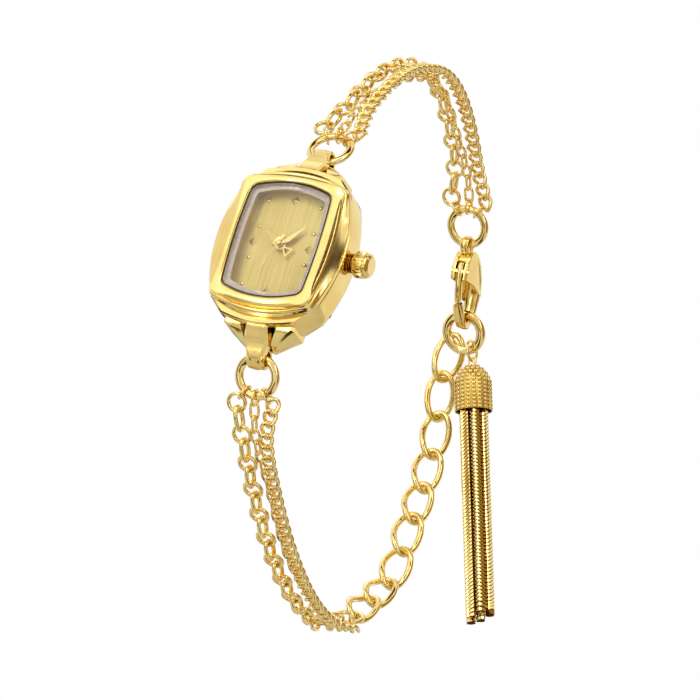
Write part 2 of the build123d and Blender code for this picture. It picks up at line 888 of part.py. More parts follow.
def arbor(place, back, front, radius):
    """A fine bar along the hand axis between two heights."""
    return disc(place, back, front - back, radius, pinion_corner_count)


def disc(place, back, thickness, radius, corners, bore=0):
    with BuildPart() as wheel:
        with BuildSketch(level(back)):
            with Locations(place):
                RegularPolygon(radius, corners)
                if bore:
                    RegularPolygon(bore, pinion_corner_count, major_radius=False, mode=Mode.SUBTRACT)
        extrude(amount=thickness)
    return wheel.part


with BuildPart() as rotor:
    add(arbor(rotor_place, bridge_back, plate_back + bridge_thickness, arbor_radius))
    add(disc(rotor_place, stator_height, stator_thickness, rotor_radius, wheel_corner_count))
    add(disc(rotor_place, third_wheel_height, pinion_thickness, small_pinion_radius, pinion_corner_count))
save(rotor.part, "rotor")

with BuildPart() as intermediate_wheel:
    add(arbor(intermediate_place, bridge_back, plate_back + bridge_thickness, arbor_radius))
    wheel_radius = intermediate_radius - mesh_gap
    pinion_radius = small_pinion_radius - mesh_gap
    add(disc(intermediate_place, third_wheel_height, wheel_thickness, wheel_radius, wheel_corner_count))
    add(disc(intermediate_place, second_wheel_height, wheel_thickness, pinion_radius, pinion_corner_count))
save(intermediate_wheel.part, "intermediate_wheel")

with BuildPart() as second_wheel:
    add(arbor((0, 0), bridge_back, second_hand_height, second_arbor_radius))
    add(disc((0, 0), second_wheel_height, wheel_thickness, second_wheel_radius, wheel_corner_count))
    add(disc((0, 0), third_wheel_height, wheel_thickness, small_pinion_radius, pinion_corner_count))
save(second_wheel.part, "second_wheel")

with BuildPart() as third_wheel:
    add(arbor(third_place, bridge_back, plate_back + bridge_thickness, arbor_radius))
    add(disc(third_place, third_wheel_height, wheel_thickness, third_wheel_radius, wheel_corner_count))
    add(disc(third_place, centre_wheel_height, wheel_thickness, pinion_radius, pinion_corner_count))
save(third_wheel.part, "third_wheel")

minute_bore = second_arbor_radius + running_gap
with BuildPart() as centre_wheel:
    add(disc((0, 0), centre_wheel_height, wheel_thickness, centre_wheel_radius, wheel_corner_count))
    tube_length = minute_hand_height - centre_wheel_height
    add(disc((0, 0), centre_wheel_height, tube_length, minute_tube_radius, pinion_corner_count))
    add(disc((0, 0), minute_wheel_height, wheel_thickness, cannon_radius, pinion_corner_count))
    with BuildSketch(level(centre_wheel_height)):
        RegularPolygon(minute_bore, pinion_corner_count, major_radius=False)
    extrude(amount=minute_hand_height - centre_wheel_height, mode=Mode.SUBTRACT)
save(centre_wheel.part, "centre_wheel")

with BuildPart() as minute_wheel:
    add(arbor(minute_wheel_place, plate_back, dial_height - dial_thickness - running_gap, arbor_radius))
    wheel_radius = minute_wheel_radius - mesh_gap
    add(disc(minute_wheel_place, minute_wheel_height, wheel_thickness, wheel_radius, wheel_corner_count))
    add(disc(minute_wheel_place, hour_wheel_height, wheel_thickness, pinion_radius, pinion_corner_count))
save(minute_wheel.part, "minute_wheel")

hour_bore = minute_tube_radius + running_gap
with BuildPart() as hour_wheel:
    add(disc((0, 0), hour_wheel_height, wheel_thickness, hour_wheel_radius, wheel_corner_count, hour_bore))
    tube_length = hour_hand_height - hour_wheel_height
    add(disc((0, 0), hour_wheel_height, tube_length, hour_tube_radius, pinion_corner_count, hour_bore))
save(hour_wheel.part, "hour_wheel")

# Case back with its lip, and the gasket in the groove of the case
with BuildPart() as case_back:
    with BuildSketch(level(0)):
        add(case_outline(case_back_round))
    extrude(amount=back_thickness)
    chamfer(case_back.faces().sort_by(Axis.Y)[-1].outer_wire().edges(), back_inset)
    with BuildSketch(level(back_thickness)):
        add(cavity_outline(seat_gap))
        add(cavity_outline(seat_gap + back_lip_wall), mode=Mode.SUBTRACT)
    extrude(amount=back_lip)
save(case_back.part, "case_back")

with BuildPart() as case_back_gasket:
    with BuildSketch(level(back_thickness)):
        add(cavity_outline(-back_gasket_width))
        add(cavity_outline(), mode=Mode.SUBTRACT)
    extrude(amount=back_gasket_depth)
save(case_back_gasket.part, "case_back_gasket")

# Crown and keyless works, along +X
crown_axis = (-crown_height, 0)


def turned(start, length, radius, bore=0):
    """A round piece on the crown axis."""
    with BuildPart() as piece:
        with BuildSketch(Plane.YZ.offset(start)):
            with Locations(crown_axis):
                RegularPolygon(radius, tube_corner_count)
                if bore:
                    RegularPolygon(bore, tube_corner_count, mode=Mode.SUBTRACT)
        extrude(amount=length)
    return piece.part


tube_start = cavity_half_width + seat_gap
tube_end = crown_start + crown_bore_depth - running_gap
gasket_start = (tube_start + tube_end) / 2
with BuildPart() as crown_tube:
    add(turned(tube_start, tube_end - tube_start, tube_radius, tube_bore_radius))
    add(turned(case_half_width + seat_gap, tube_collar_length, tube_collar_radius, tube_bore_radius))
save(crown_tube.part, "crown_tube")

with BuildPart() as stem_gasket:
    add(turned(gasket_start, stem_gasket_length, tube_bore_radius, stem_radius + running_gap / 2))
save(stem_gasket.part, "stem_gasket")

cap_start = crown_start + crown_fluted_length
stem_end = crown_start + crown_bore_depth + crown_fluted_length / 4
flute_points = [
    (
        -crown_height + (crown_radius - (k % 2) * crown_flute_depth) * cos(k * pi / crown_flutes),
        (crown_radius - (k % 2) * crown_flute_depth) * sin(k * pi / crown_flutes),
    )
    for k in range(2 * crown_flutes)
]
with BuildPart() as crown:
    with BuildSketch(Plane.YZ.offset(crown_start)):
        with BuildLine():
            Polyline(flute_points, close=True)
        make_face()
    extrude(amount=crown_fluted_length)
    with BuildSketch(Plane.YZ.offset(cap_start)):
        with Locations(crown_axis):
            RegularPolygon(crown_radius - crown_flute_depth, crown_flutes)
    with BuildSketch(Plane.YZ.offset(cap_start + crown_cap_length)):
        with Locations(crown_axis):
            RegularPolygon(crown_cap_end_radius, crown_flutes)
    loft(ruled=True)
    with BuildSketch(Plane.YZ.offset(crown_start)):
        with Locations(crown_axis):
            RegularPolygon(tube_radius + running_gap, tube_corner_count, major_radius=False)
    extrude(amount=crown_bore_depth, mode=Mode.SUBTRACT)
    with BuildSketch(Plane.YZ.offset(crown_start)):
        with Locations(crown_axis):
            RegularPolygon(stem_radius, tube_corner_count)
    extrude(amount=stem_end - crown_start, mode=Mode.SUBTRACT)
save(crown.part, "crown")

groove_end = stem_groove_start + stem_groove_length
with BuildPart() as crown_stem:
    add(turned(stem_inner_end, stem_groove_start - stem_inner_end, stem_radius))
    add(turned(stem_groove_start, stem_groove_length, stem_groove_radius))
    add(turned(groove_end, stem_end - groove_end, stem_radius))
save(crown_stem.part, "crown_stem")

with BuildPart() as clutch_pinion:
    add(turned(stem_inner_end + seat_gap, clutch_length, clutch_radius, stem_radius))
save(clutch_pinion.part, "clutch_pinion")

with BuildPart() as setting_lever:
    with BuildSketch(Plane.YZ.offset(stem_groove_start + running_gap)):
        with Locations((-crown_height, -lever_drop / 2)):
            Rectangle(lever_width / 2, lever_width + lever_drop)
        with Locations(crown_axis):
            Circle(stem_groove_radius + running_gap, mode=Mode.SUBTRACT)
        with Locations((-crown_height, lever_width)):
            Rectangle(2 * (stem_groove_radius + running_gap), 2 * lever_width, mode=Mode.SUBTRACT)
    extrude(amount=stem_groove_length - 2 * running_gap)
save(setting_lever.part, "setting_lever")


# Bracelet geometry: vectors in the loop plane and at the rings
across = Vector(1, 0, 0)


def unit(y, z):
    return Vector(0, y, z).normalized()


def turned_vector(vector, axis, angle):
    return vector.rotate(Axis((0, 0, 0), axis), angle)


def oval_points(length, width, corners):
    """Corners of an oval with a flat at each end, as wide as the length and width say."""
    angles = [(k + 0.5) * 2 * pi / corners for k in range(corners)]
    long_reach = max(cos(angle) for angle in angles)
    wide_reach = max(sin(angle) for angle in angles)
    return [(length / 2 * cos(angle) / long_reach, width / 2 * sin(angle) / wide_reach) for angle in angles]


def link_part(length, width, wire, band, corners):
    """A closed link along X with flats at its ends, a wire thick in its plane and a band thick across it."""
    with BuildPart() as link:
        with BuildSketch(Plane.XY.offset(-band / 2)):
            with BuildLine():
                Polyline(oval_points(length, width, corners), close=True)
            make_face()
            with BuildLine():
                Polyline(oval_points(length - 2 * wire, width - 2 * wire, corners), close=True)
            make_face(mode=Mode.SUBTRACT)
        extrude(amount=band)
    return link.part


def ring_part(outer, wire, corners):
    return link_part(outer, outer, wire, wire * band_share, corners)


class Ring:
    """A big ring across the loop: its centre, its outward direction in the loop plane and its size."""

    def __init__(self, centre, lean, outer, wire):
        self.centre = centre
        self.lean = lean
        self.wire = wire
        self.outer = outer
        self.mean = (outer - wire) / 2
        self.inner = outer / 2 - wire

    def place(self):
        return Plane(origin=self.centre, x_dir=across, z_dir=across.cross(self.lean)).location

    def depth(self, thickness):
        """How far from the ring's centre a piece of some thickness touches the inside of the ring."""
        return sqrt(self.inner**2 - (thickness / 2) ** 2)

    def foot(self, foot_x, side):
        """The wire's centre at a place across the ring, and the way out from the ring's centre there."""
        out = (across * foot_x + self.lean * (side * sqrt(self.mean**2 - foot_x**2))).normalized()
        return self.centre + out * self.mean, out


bore_upper = Vector(0, -bore_height, bore_z)
bore_lower = Vector(0, -bore_height, -bore_z)
upper_points = [Vector(0, y * loop_depth, z * loop_rise) for y, z in upper_route_shares]
lower_points = [Vector(0, y * loop_depth, z * loop_rise) for y, z in lower_route_shares]
extension_points = [
    Vector(x * loop_depth, y * loop_depth, z * loop_rise) for x, y, z in extension_route_shares
]

upper_lean = (upper_points[0] - bore_upper).normalized()
lower_lean = (lower_points[-1] - bore_lower).normalized()
upper_mean = (upper_ring_outer - lug_ring_wire) / 2
lower_mean = (lower_ring_outer - lug_ring_wire) / 2
upper_ring_centre = bore_upper + upper_lean * (upper_mean - lug_ring_slack)
lower_ring_centre = bore_lower + lower_lean * (lower_mean - lug_ring_slack)
upper_ring = Ring(upper_ring_centre, upper_lean, upper_ring_outer, lug_ring_wire)
lower_ring = Ring(lower_ring_centre, lower_lean, lower_ring_outer, lug_ring_wire)

clasp_ring_centre = Vector(0, clasp_ring_place_shares[0] * loop_depth, clasp_ring_place_shares[1] * loop_rise)
clasp_lean = unit(*clasp_lean_shares)
clasp_ring = Ring(clasp_ring_centre, clasp_lean, clasp_ring_outer, clasp_ring_wire)
eye_centre = clasp_ring.centre + clasp_lean * (clasp_ring.depth(eye_thickness) - link_gap + eye_bore_radius)
clasp_origin = eye_centre - clasp_lean * eye_radius
hook_inner = clasp_length - hook_wall
end_ring = Ring(clasp_origin, clasp_lean, end_ring_outer, end_ring_wire)
end_ring.centre = clasp_origin + clasp_lean * (hook_inner + end_ring.depth(hook_thickness) - link_gap)
joining_lean = unit(*joining_ring_lean_shares)
joining_share_y, joining_share_z = joining_ring_place_shares
joining_ring_centre = Vector(0, joining_share_y * loop_depth, joining_share_z * loop_rise)
joining_ring = Ring(joining_ring_centre, joining_lean, joining_ring_outer, joining_ring_wire)

for ring, name in ((upper_ring, "upper_lug_ring"), (lower_ring, "lower_lug_ring"),
                   (clasp_ring, "clasp_ring"), (end_ring, "end_ring")):
    with BuildPart() as big_ring:
        with Locations(ring.place()):
            add(ring_part(ring.outer, ring.wire, ring_corner_count))
        if ring is end_ring:
            band = end_ring_wire * band_share
            chamfer(big_ring.edges().filter_by(lambda edge: edge.length > band + seat_gap), end_ring_edge)
    save(big_ring.part, name)

# Small rings that tie each strand to a big ring, and the ring that joins strands and extension
strand_feet = {}
small_places = []


def tie_ring(ring, foot_x, side):
    """Places a small ring round a big ring's wire and returns its far wall and the way out."""
    wire_centre, out = ring.foot(foot_x, side)
    centre = wire_centre + out * (strand_ring_outer / 2 - strand_ring_wire - ring.wire / 2 - running_gap)
    plane = Plane(origin=centre, x_dir=out, z_dir=out.cross(across.cross(ring.lean)))
    small_places.append(plane.location)
    return centre + out * ((strand_ring_outer - strand_ring_wire) / 2), out


spread = {"belcher": -1, "cable": 0, "curb": 1}
for name, side in spread.items():
    strand_feet["upper", name, "start"] = tie_ring(upper_ring, side * strand_foot_share * upper_ring.mean, 1)
    strand_feet["upper", name, "end"] = tie_ring(clasp_ring, side * strand_foot_share * clasp_ring.mean, -1)
    strand_foot = side * strand_foot_share * joining_ring.mean
    strand_feet["lower", name, "start"] = tie_ring(joining_ring, strand_foot, 1)
    strand_feet["lower", name, "end"] = tie_ring(lower_ring, side * strand_foot_share * lower_ring.mean, 1)

with BuildPart() as strand_rings:
    with Locations(*small_places):
        add(ring_part(strand_ring_outer, strand_ring_wire, link_corner_count))
    with Locations(joining_ring.place()):
        add(ring_part(joining_ring_outer, joining_ring_wire, ring_corner_count))
save(strand_rings.part, "strand_rings")


def strand_route(half, name):
    """The line of a strand from tie ring to tie ring."""
    start, way_out = strand_feet[half, name, "start"]
    end, way_in = strand_feet[half, name, "end"]
    middle = upper_points if half == "upper" else lower_points
    points = [start]
    for before, here, after in zip(middle[:-2], middle[1:-1], middle[2:]):
        inward = (after - before).cross(across).normalized() * (cable_offset if name == "cable" else 0)
        points.append(here + across * (spread[name] * strand_spread) + inward)
    points.append(end)
    with BuildLine() as route:
        Spline(*points, tangents=[way_out, -way_in])
    return route.edges()[0]


def link_place(route, distance, roll):
    here = route.position_at(distance, PositionMode.LENGTH)
    along = route.tangent_at(distance, PositionMode.LENGTH)
    normal = turned_vector(along.cross(across).normalized(), along, roll)
    return Plane(origin=here, x_dir=along, z_dir=normal).location


def link_count(run, pitch_limit, odd):
    count = ceil(run / pitch_limit) + 1
    return count + 1 if odd and count % 2 == 0 else count


end_reach = strand_ring_wire / 2 + link_gap
for half in ("upper", "lower"):
    # Belcher strand of round links and oval links by turns
    route = strand_route(half, "belcher")
    first = round_link_outer / 2 - belcher_wire - end_reach
    run = route.length - 2 * first
    pitch_limit = (round_link_outer + oval_link_length) / 2 - 2 * belcher_wire - link_gap
    count = link_count(run, pitch_limit, True)
    round_places = [link_place(route, first + run * k / (count - 1), flat_roll) for k in range(0, count, 2)]
    oval_places = [link_place(route, first + run * k / (count - 1), edge_roll) for k in range(1, count, 2)]
    with BuildPart() as belcher_chain:
        with Locations(*round_places):
            add(link_part(round_link_outer, round_link_outer, belcher_wire, belcher_band, link_corner_count))
        with Locations(*oval_places):
            add(link_part(oval_link_length, oval_link_width, belcher_wire, belcher_band, link_corner_count))
    save(belcher_chain.part, f"{half}_belcher_chain")

    # Curb strand, its links turned to and fro
    route = strand_route(half, "curb")
    first = curb_link_length / 2 - curb_wire - end_reach
    run = route.length - 2 * first
    count = link_count(run, curb_link_length - 2 * curb_wire - link_gap, False)
    places = [
        link_place(route, first + run * k / (count - 1), curb_roll if k % 2 else -curb_roll)
        for k in range(count)
    ]
    with BuildPart() as curb_chain:
        with Locations(*places):
            add(link_part(curb_link_length, curb_link_width, curb_wire, curb_wire, link_corner_count))
    save(curb_chain.part, f"{half}_curb_chain")

    # Fine cable strand, every second link on edge
    route = strand_route(half, "cable")
    first = cable_link_length / 2 - cable_wire - end_reach
    run = route.length - 2 * first
    count = link_count(run, cable_link_length - 2 * cable_wire - link_gap, True)
    places = [
        link_place(route, first + run * k / (count - 1), edge_roll if k % 2 else flat_roll)
        for k in range(count)
    ]
    with BuildPart() as cable_chain:
        with Locations(*places):
            add(
                link_part(cable_link_length, cable_link_width, cable_wire, cable_wire, fine_link_corner_count)
            )
    save(cable_chain.part, f"{half}_cable_chain")

# Extension chain between the end ring and the joining ring
extension_start, extension_out = end_ring.foot(-end_ring_foot_share * end_ring.mean, 1)
extension_end, joining_out = joining_ring.foot(0, -1)
extension_fall = (extension_out * extension_fall_share + Vector(0, 0, -1)).normalized()
with BuildLine() as extension_route:
    Spline(extension_start, *extension_points, extension_end, tangents=[extension_fall, -joining_out])
route = extension_route.edges()[0]
first = extension_link_length / 2 - extension_wire - end_ring_wire / 2 - extension_end_gap
last = extension_link_length / 2 - extension_wire - joining_ring_wire / 2 - link_gap
pitch = (route.length - first - last) / (extension_links - 1)
places = []
for k in range(extension_links):
    from_end = min(k, extension_links - 1 - k)
    twist = curb_roll * max(0, 1 - from_end / extension_twist_links)
    places.append(link_place(route, first + pitch * k, (-curb_roll if k % 2 else curb_roll) + twist))
with BuildPart() as extension_chain:
    with Locations(*places):
        add(
            link_part(
                extension_link_length,
                extension_link_width,
                extension_wire,
                extension_band,
                open_link_corner_count,
            )
        )
save(extension_chain.part, "extension_chain")

# Lobster clasp in the loop plane: X of its sketch runs from eye to hook, Y to the inside of the loop
clasp_plane = Plane(origin=clasp_origin, x_dir=clasp_lean, z_dir=-across)
body_start = 2 * eye_radius
body_half_length = (clasp_length - body_start + eye_radius / 2) / 2
body_middle = clasp_length - body_half_length
hollow_half_length = (hook_inner - clasp_lever_start) / 2
hollow_middle = (hook_inner + clasp_lever_start) / 2
hollow_half_width = clasp_half_width - spine_wall


def clasp_body_outline():
    with BuildSketch() as outline:
        with BuildLine():
            body_points = oval_points(2 * body_half_length, 2 * clasp_half_width, clasp_corner_count)
            Polyline([(body_middle + u, v) for u, v in body_points], close=True)
        make_face()
    return outline.sketch


def clasp_hollow():
    with BuildSketch() as outline:
        with BuildLine():
            hollow_points = oval_points(2 * hollow_half_length, 2 * hollow_half_width, ring_corner_count)
            Polyline([(hollow_middle + u, v) for u, v in hollow_points], close=True)
        make_face()
    return outline.sketch


clasp_taper = [
    (0, -eye_thickness / 2),
    (body_start, -eye_thickness / 2),
    (body_start + eye_radius, -clasp_thickness / 2),
    (clasp_lever_end, -clasp_thickness / 2),
    (hook_inner - eye_radius / 2, -hook_thickness / 2),
    (clasp_length, -hook_thickness / 2),
    (clasp_length, hook_thickness / 2),
    (hook_inner - eye_radius / 2, hook_thickness / 2),
    (clasp_lever_end, clasp_thickness / 2),
    (body_start + eye_radius, clasp_thickness / 2),
    (body_start, eye_thickness / 2),
    (0, eye_thickness / 2),
]
with BuildPart() as clasp_body:
    with BuildSketch(clasp_plane):
        add(clasp_body_outline())
        add(clasp_hollow(), mode=Mode.SUBTRACT)
    extrude(amount=clasp_thickness / 2, both=True)
    with BuildSketch(Plane(origin=clasp_origin, x_dir=clasp_lean, z_dir=clasp_plane.y_dir)):
        with BuildLine():
            Polyline(*clasp_taper, close=True)
        make_face()
    extrude(amount=clasp_half_width, both=True, mode=Mode.INTERSECT)
    with BuildSketch(clasp_plane):
        with Locations((eye_radius, 0)):
            RegularPolygon(eye_radius, ring_corner_count)
        with Locations((body_start, 0)):
            Rectangle(eye_radius, eye_radius)
        with Locations((eye_radius, 0)):
            RegularPolygon(eye_bore_radius, ring_corner_count, major_radius=False, mode=Mode.SUBTRACT)
    extrude(amount=eye_thickness / 2, both=True)
    with BuildSketch(clasp_plane):
        with Locations(((clasp_lever_start + clasp_lever_end) / 2, clasp_half_width / 2 + running_gap)):
            Rectangle(clasp_lever_end - clasp_lever_start, clasp_half_width)
    extrude(amount=lever_thickness / 2 + running_gap, both=True, mode=Mode.SUBTRACT)
    with BuildSketch(clasp_plane):
        with Locations(((clasp_cheek_end + clasp_lever_end) / 2, clasp_half_width / 2 + running_gap)):
            Rectangle(clasp_lever_end - clasp_cheek_end, clasp_half_width)
    extrude(amount=clasp_thickness, both=True, mode=Mode.SUBTRACT)
    with BuildSketch(clasp_plane):
        with Locations((lever_pivot, clasp_half_width - lever_depth)):
            RegularPolygon(rivet_radius, tube_corner_count)
    extrude(amount=clasp_thickness, both=True, mode=Mode.SUBTRACT)
save(clasp_body.part, "clasp_body")

# The lever's tail is short, so that its corner clears the slot as the gate opens
lever_inner = clasp_half_width - 2 * lever_depth
lever_tail = clasp_lever_start + lever_tail_gap
lever_tip = clasp_lever_end - 2 * running_gap
with BuildPart() as clasp_lever:
    with BuildSketch(clasp_plane):
        add(clasp_body_outline())
        with Locations(((lever_tail + lever_tip) / 2, 0)):
            Rectangle(lever_tip - lever_tail, 2 * clasp_half_width, mode=Mode.INTERSECT)
        with Locations(((clasp_lever_start + clasp_lever_end) / 2, lever_inner - clasp_half_width)):
            Rectangle(clasp_length, 2 * clasp_half_width, mode=Mode.SUBTRACT)
        with Locations((lever_pivot, clasp_half_width - lever_depth)):
            clear_bore(rivet_radius, tube_corner_count)
    extrude(amount=lever_thickness / 2, both=True)
save(clasp_lever.part, "clasp_lever")

with BuildPart() as clasp_rivet:
    with BuildSketch(clasp_plane):
        with Locations((lever_pivot, clasp_half_width - lever_depth)):
            RegularPolygon(rivet_radius, tube_corner_count)
    extrude(amount=clasp_thickness / 2, both=True)
save(clasp_rivet.part, "clasp_rivet")

# The leaf reaches under the lever just past its pivot, where the open gate still clears it
spring_start = clasp_lever_start + seat_gap
spring_end = lever_pivot + lever_depth / 2
with BuildPart() as clasp_spring:
    with BuildSketch(clasp_plane):
        with BuildLine():
            Polyline(
                (spring_start, lever_inner / 2),
                (spring_start, lever_inner / 2 - clasp_spring_leaf),
                (spring_end, lever_inner / 2 - clasp_spring_leaf / 2),
                (spring_end, lever_inner / 2 + clasp_spring_leaf / 2),
                close=True,
            )
        make_face()
    extrude(amount=clasp_spring_width / 2, both=True)
save(clasp_spring.part, "clasp_spring")

# Tassel: a small ring on the end ring, a domed cap with beaded rows and a bundle of snake chains
tassel_lean = Vector(*tassel_lean_shares).normalized()
tassel_foot, tassel_out = end_ring.foot(end_ring_foot_share * end_ring.mean, 1)
tassel_side = tassel_lean.cross(across.cross(end_ring.lean)).normalized()
tassel_ring_centre = tassel_foot + tassel_lean * (
    tassel_ring_outer / 2 - tassel_ring_wire - end_ring_wire / 2 - tassel_ring_gap
)
with BuildPart() as tassel_ring:
    with Locations(Plane(origin=tassel_ring_centre, x_dir=tassel_lean, z_dir=tassel_side).location):
        add(ring_part(tassel_ring_outer, tassel_ring_wire, open_link_corner_count))
save(tassel_ring.part, "tassel_ring")

eye_offset = tassel_ring_outer / 2 - tassel_ring_wire - running_gap + cap_eye_outer / 2 - cap_eye_wire
cap_eye_centre = tassel_ring_centre + tassel_lean * eye_offset
cap_origin = cap_eye_centre + tassel_lean * (cap_eye_outer / 2 - cap_eye_wire / 2)
cap_plane = Plane(origin=cap_origin, x_dir=tassel_side, z_dir=tassel_lean)
with BuildPart() as tassel_cap:
    with BuildSketch(cap_plane):
        RegularPolygon(cap_radius, cap_corner_count)
    extrude(amount=cap_length)
    cap_top = tassel_cap.faces().sort_by(Axis(cap_origin, tassel_lean))[0]
    chamfer(cap_top.edges(), cap_dome_length, cap_radius - cap_top_radius, reference=cap_top)
    with BuildSketch(cap_plane.offset(cap_dome_length)):
        RegularPolygon(cap_radius - cap_wall, cap_corner_count)
    extrude(amount=cap_length, mode=Mode.SUBTRACT)
    with Locations(Plane(origin=cap_eye_centre, x_dir=tassel_lean, z_dir=cap_plane.y_dir).location):
        add(ring_part(cap_eye_outer, cap_eye_wire, link_corner_count))
save(tassel_cap.part, "tassel_cap")

chain_top = cap_length - tassel_swing_room
chain_turns = [k * 2 * pi / tassel_chains for k in range(tassel_chains)]
chain_places = [(0, 0)]
chain_places += [(tassel_chain_circle * cos(turn), tassel_chain_circle * sin(turn)) for turn in chain_turns]
for number, place in enumerate(chain_places):
    back = cap_dome_length if number == 0 else chain_top
    with BuildPart() as tassel_chain:
        with BuildSketch(cap_plane.offset(back)):
            with Locations(place):
                RegularPolygon(tassel_chain_radius, 6)
        extrude(amount=cap_length + tassel_chain_length - back)
    save(tassel_chain.part, f"tassel_chain_{number}")
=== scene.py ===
from math import atan2, copysign, cos, hypot, pi, radians, sin

import bmesh
import bpy
import numpy as np
from mathutils import Matrix, Vector


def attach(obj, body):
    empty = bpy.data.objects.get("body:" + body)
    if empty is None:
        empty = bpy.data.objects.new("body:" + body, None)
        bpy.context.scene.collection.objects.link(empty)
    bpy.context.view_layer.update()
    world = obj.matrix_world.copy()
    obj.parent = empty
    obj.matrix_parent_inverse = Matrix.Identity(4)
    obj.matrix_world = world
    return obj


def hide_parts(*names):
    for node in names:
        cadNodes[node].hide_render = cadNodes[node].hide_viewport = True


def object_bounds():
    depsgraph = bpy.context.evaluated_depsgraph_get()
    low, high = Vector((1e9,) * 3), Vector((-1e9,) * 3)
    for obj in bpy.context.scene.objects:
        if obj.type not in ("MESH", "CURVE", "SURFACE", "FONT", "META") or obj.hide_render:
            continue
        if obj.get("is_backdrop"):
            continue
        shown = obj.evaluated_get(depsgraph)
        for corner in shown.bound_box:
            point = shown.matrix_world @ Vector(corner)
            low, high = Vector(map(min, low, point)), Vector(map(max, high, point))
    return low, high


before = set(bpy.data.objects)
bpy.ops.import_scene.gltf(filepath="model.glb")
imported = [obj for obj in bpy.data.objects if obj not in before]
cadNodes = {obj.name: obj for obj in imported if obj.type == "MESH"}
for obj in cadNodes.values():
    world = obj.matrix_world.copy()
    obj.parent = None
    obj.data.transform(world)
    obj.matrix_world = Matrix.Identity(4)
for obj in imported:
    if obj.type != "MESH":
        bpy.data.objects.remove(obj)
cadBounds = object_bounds()
scene = bpy.context.scene
print("frame loaded with", len(cadNodes), "nodes")

mmPerMetre = 1000
toMetres = 1 / mmPerMetre  # every piece is drawn in millimetres
across = Vector((1, 0, 0))  # from one side of the bracelet to the other


def linearColour(hexCode):
    channels = [int(hexCode[i:i + 2], 16) / 255 for i in (0, 2, 4)]
    return [c / 12.92 if c <= 0.04045 else ((c + 0.055) / 1.055) ** 2.4 for c in channels] + [1.0]


def axesAt(origin, xAxis, yAxis, zAxis):
    turn = Matrix((xAxis, yAxis, zAxis)).transposed().to_4x4()
    return Matrix.Translation(origin) @ turn


def alongAt(origin, along, normal):
    along = Vector(along).normalized()
    normal = (Vector(normal) - along * Vector(normal).dot(along)).normalized()
    return axesAt(origin, along, normal.cross(along), normal)


def addObject(name, data):
    item = bpy.data.objects.new(name, data)
    scene.collection.objects.link(item)
    return item


def meshFrom(bm, name):
    mesh = bpy.data.meshes.new(name)
    bm.to_mesh(mesh)
    bm.free()
    return mesh


# Drawing frames: x to 3 o'clock, y to 12, z towards the viewer; and z along the crown's axis
dialFrame = axesAt((0, 0, 0), (1, 0, 0), (0, 0, 1), (0, -1, 0))
crownFrame = axesAt((0, -3.3, 0), (0, 1, 0), (0, 0, 1), (1, 0, 0))


def addNode(tree, kind, settings=None, **inputs):
    # inputs are named by socket, or i0, i1 and so on by place; a socket given as a value is linked
    node = tree.nodes.new(kind)
    for name, value in (settings or {}).items():
        setattr(node, name, value)
    for name, value in inputs.items():
        byPlace = name[0] == "i" and name[1:].isdigit()
        socket = node.inputs[int(name[1:]) if byPlace else name.replace("_", " ")]
        if isinstance(value, bpy.types.NodeSocket):
            tree.links.new(value, socket)
        else:
            socket.default_value = value
    return node


def colourRamp(tree, factor, stops):
    ramp = addNode(tree, "ShaderNodeValToRGB", i0=factor)
    elements = ramp.color_ramp.elements
    while len(elements) < len(stops):
        elements.new(0.5)
    for element, (position, hexCode) in zip(elements, stops):
        element.position = position
        element.color = linearColour(hexCode)
    return ramp.outputs["Color"]


def newMaterial(name):
    material = bpy.data.materials.new(name)
    material.use_nodes = True
    tree = material.node_tree
    place = addNode(tree, "ShaderNodeTexCoord").outputs["Object"]
    return material, tree, tree.nodes["Principled BSDF"], place


def dress(tree, shader, colour, grain, rough, depth, reach):
    # the grain moves the roughness and raises the bump
    gloss = addNode(tree, "ShaderNodeMapRange", Value=grain, To_Min=rough[0], To_Max=rough[1])
    bump = addNode(tree, "ShaderNodeBump", Strength=depth, Distance=reach, Height=grain)
    tree.links.new(colour, shader.inputs["Base Color"])
    tree.links.new(gloss.outputs[0], shader.inputs["Roughness"])
    tree.links.new(bump.outputs[0], shader.inputs["Normal"])


bumpReach = {"metal": 0.00004, "moulded": 0.00003}  # metres
mouldedFinish = {"roughSpan": 0.1, "depth": 0.2}


def metal(name, light, dark, rough, grainMm, depth, stretch=(1, 1, 1), spotMm=4.0):
    # colour drifts over a few millimetres under much finer polishing marks
    material, tree, shader, place = newMaterial(name)
    stretched = addNode(tree, "ShaderNodeMapping", Vector=place, Scale=stretch).outputs["Vector"]
    drift = addNode(tree, "ShaderNodeTexNoise", Vector=place, Scale=mmPerMetre / spotMm, Detail=2.0)
    grain = addNode(tree, "ShaderNodeTexNoise", Vector=stretched, Scale=mmPerMetre / grainMm, Detail=3.0)
    colour = colourRamp(tree, drift.outputs[0], [(0.3, dark), (0.7, light)])
    shader.inputs["Metallic"].default_value = 1.0
    dress(tree, shader, colour, grain.outputs[0], rough, depth, bumpReach["metal"])
    return material


def plastic(name, light, dark, rough, grainMm, ior=1.5, coat=0.0):
    # the grain of the mould or the lacquer moves the colour too
    material, tree, shader, place = newMaterial(name)
    grain = addNode(tree, "ShaderNodeTexNoise", Vector=place, Scale=mmPerMetre / grainMm, Detail=3.0)
    colour = colourRamp(tree, grain.outputs[0], [(0.35, dark), (0.65, light)])
    shader.inputs["IOR"].default_value = ior
    shader.inputs["Coat Weight"].default_value = coat
    dress(tree, shader, colour, grain.outputs[0], (rough, rough + mouldedFinish["roughSpan"]),
          mouldedFinish["depth"], bumpReach["moulded"])
    return material


# Gold plate polished on a wheel: pale yellow, nearly mirror smooth, with a faint polishing haze
polishedGold = metal("polishedGoldPlate", "F3D98C", "E8C674", rough=(0.11, 0.16), grainMm=0.5, depth=0.015)
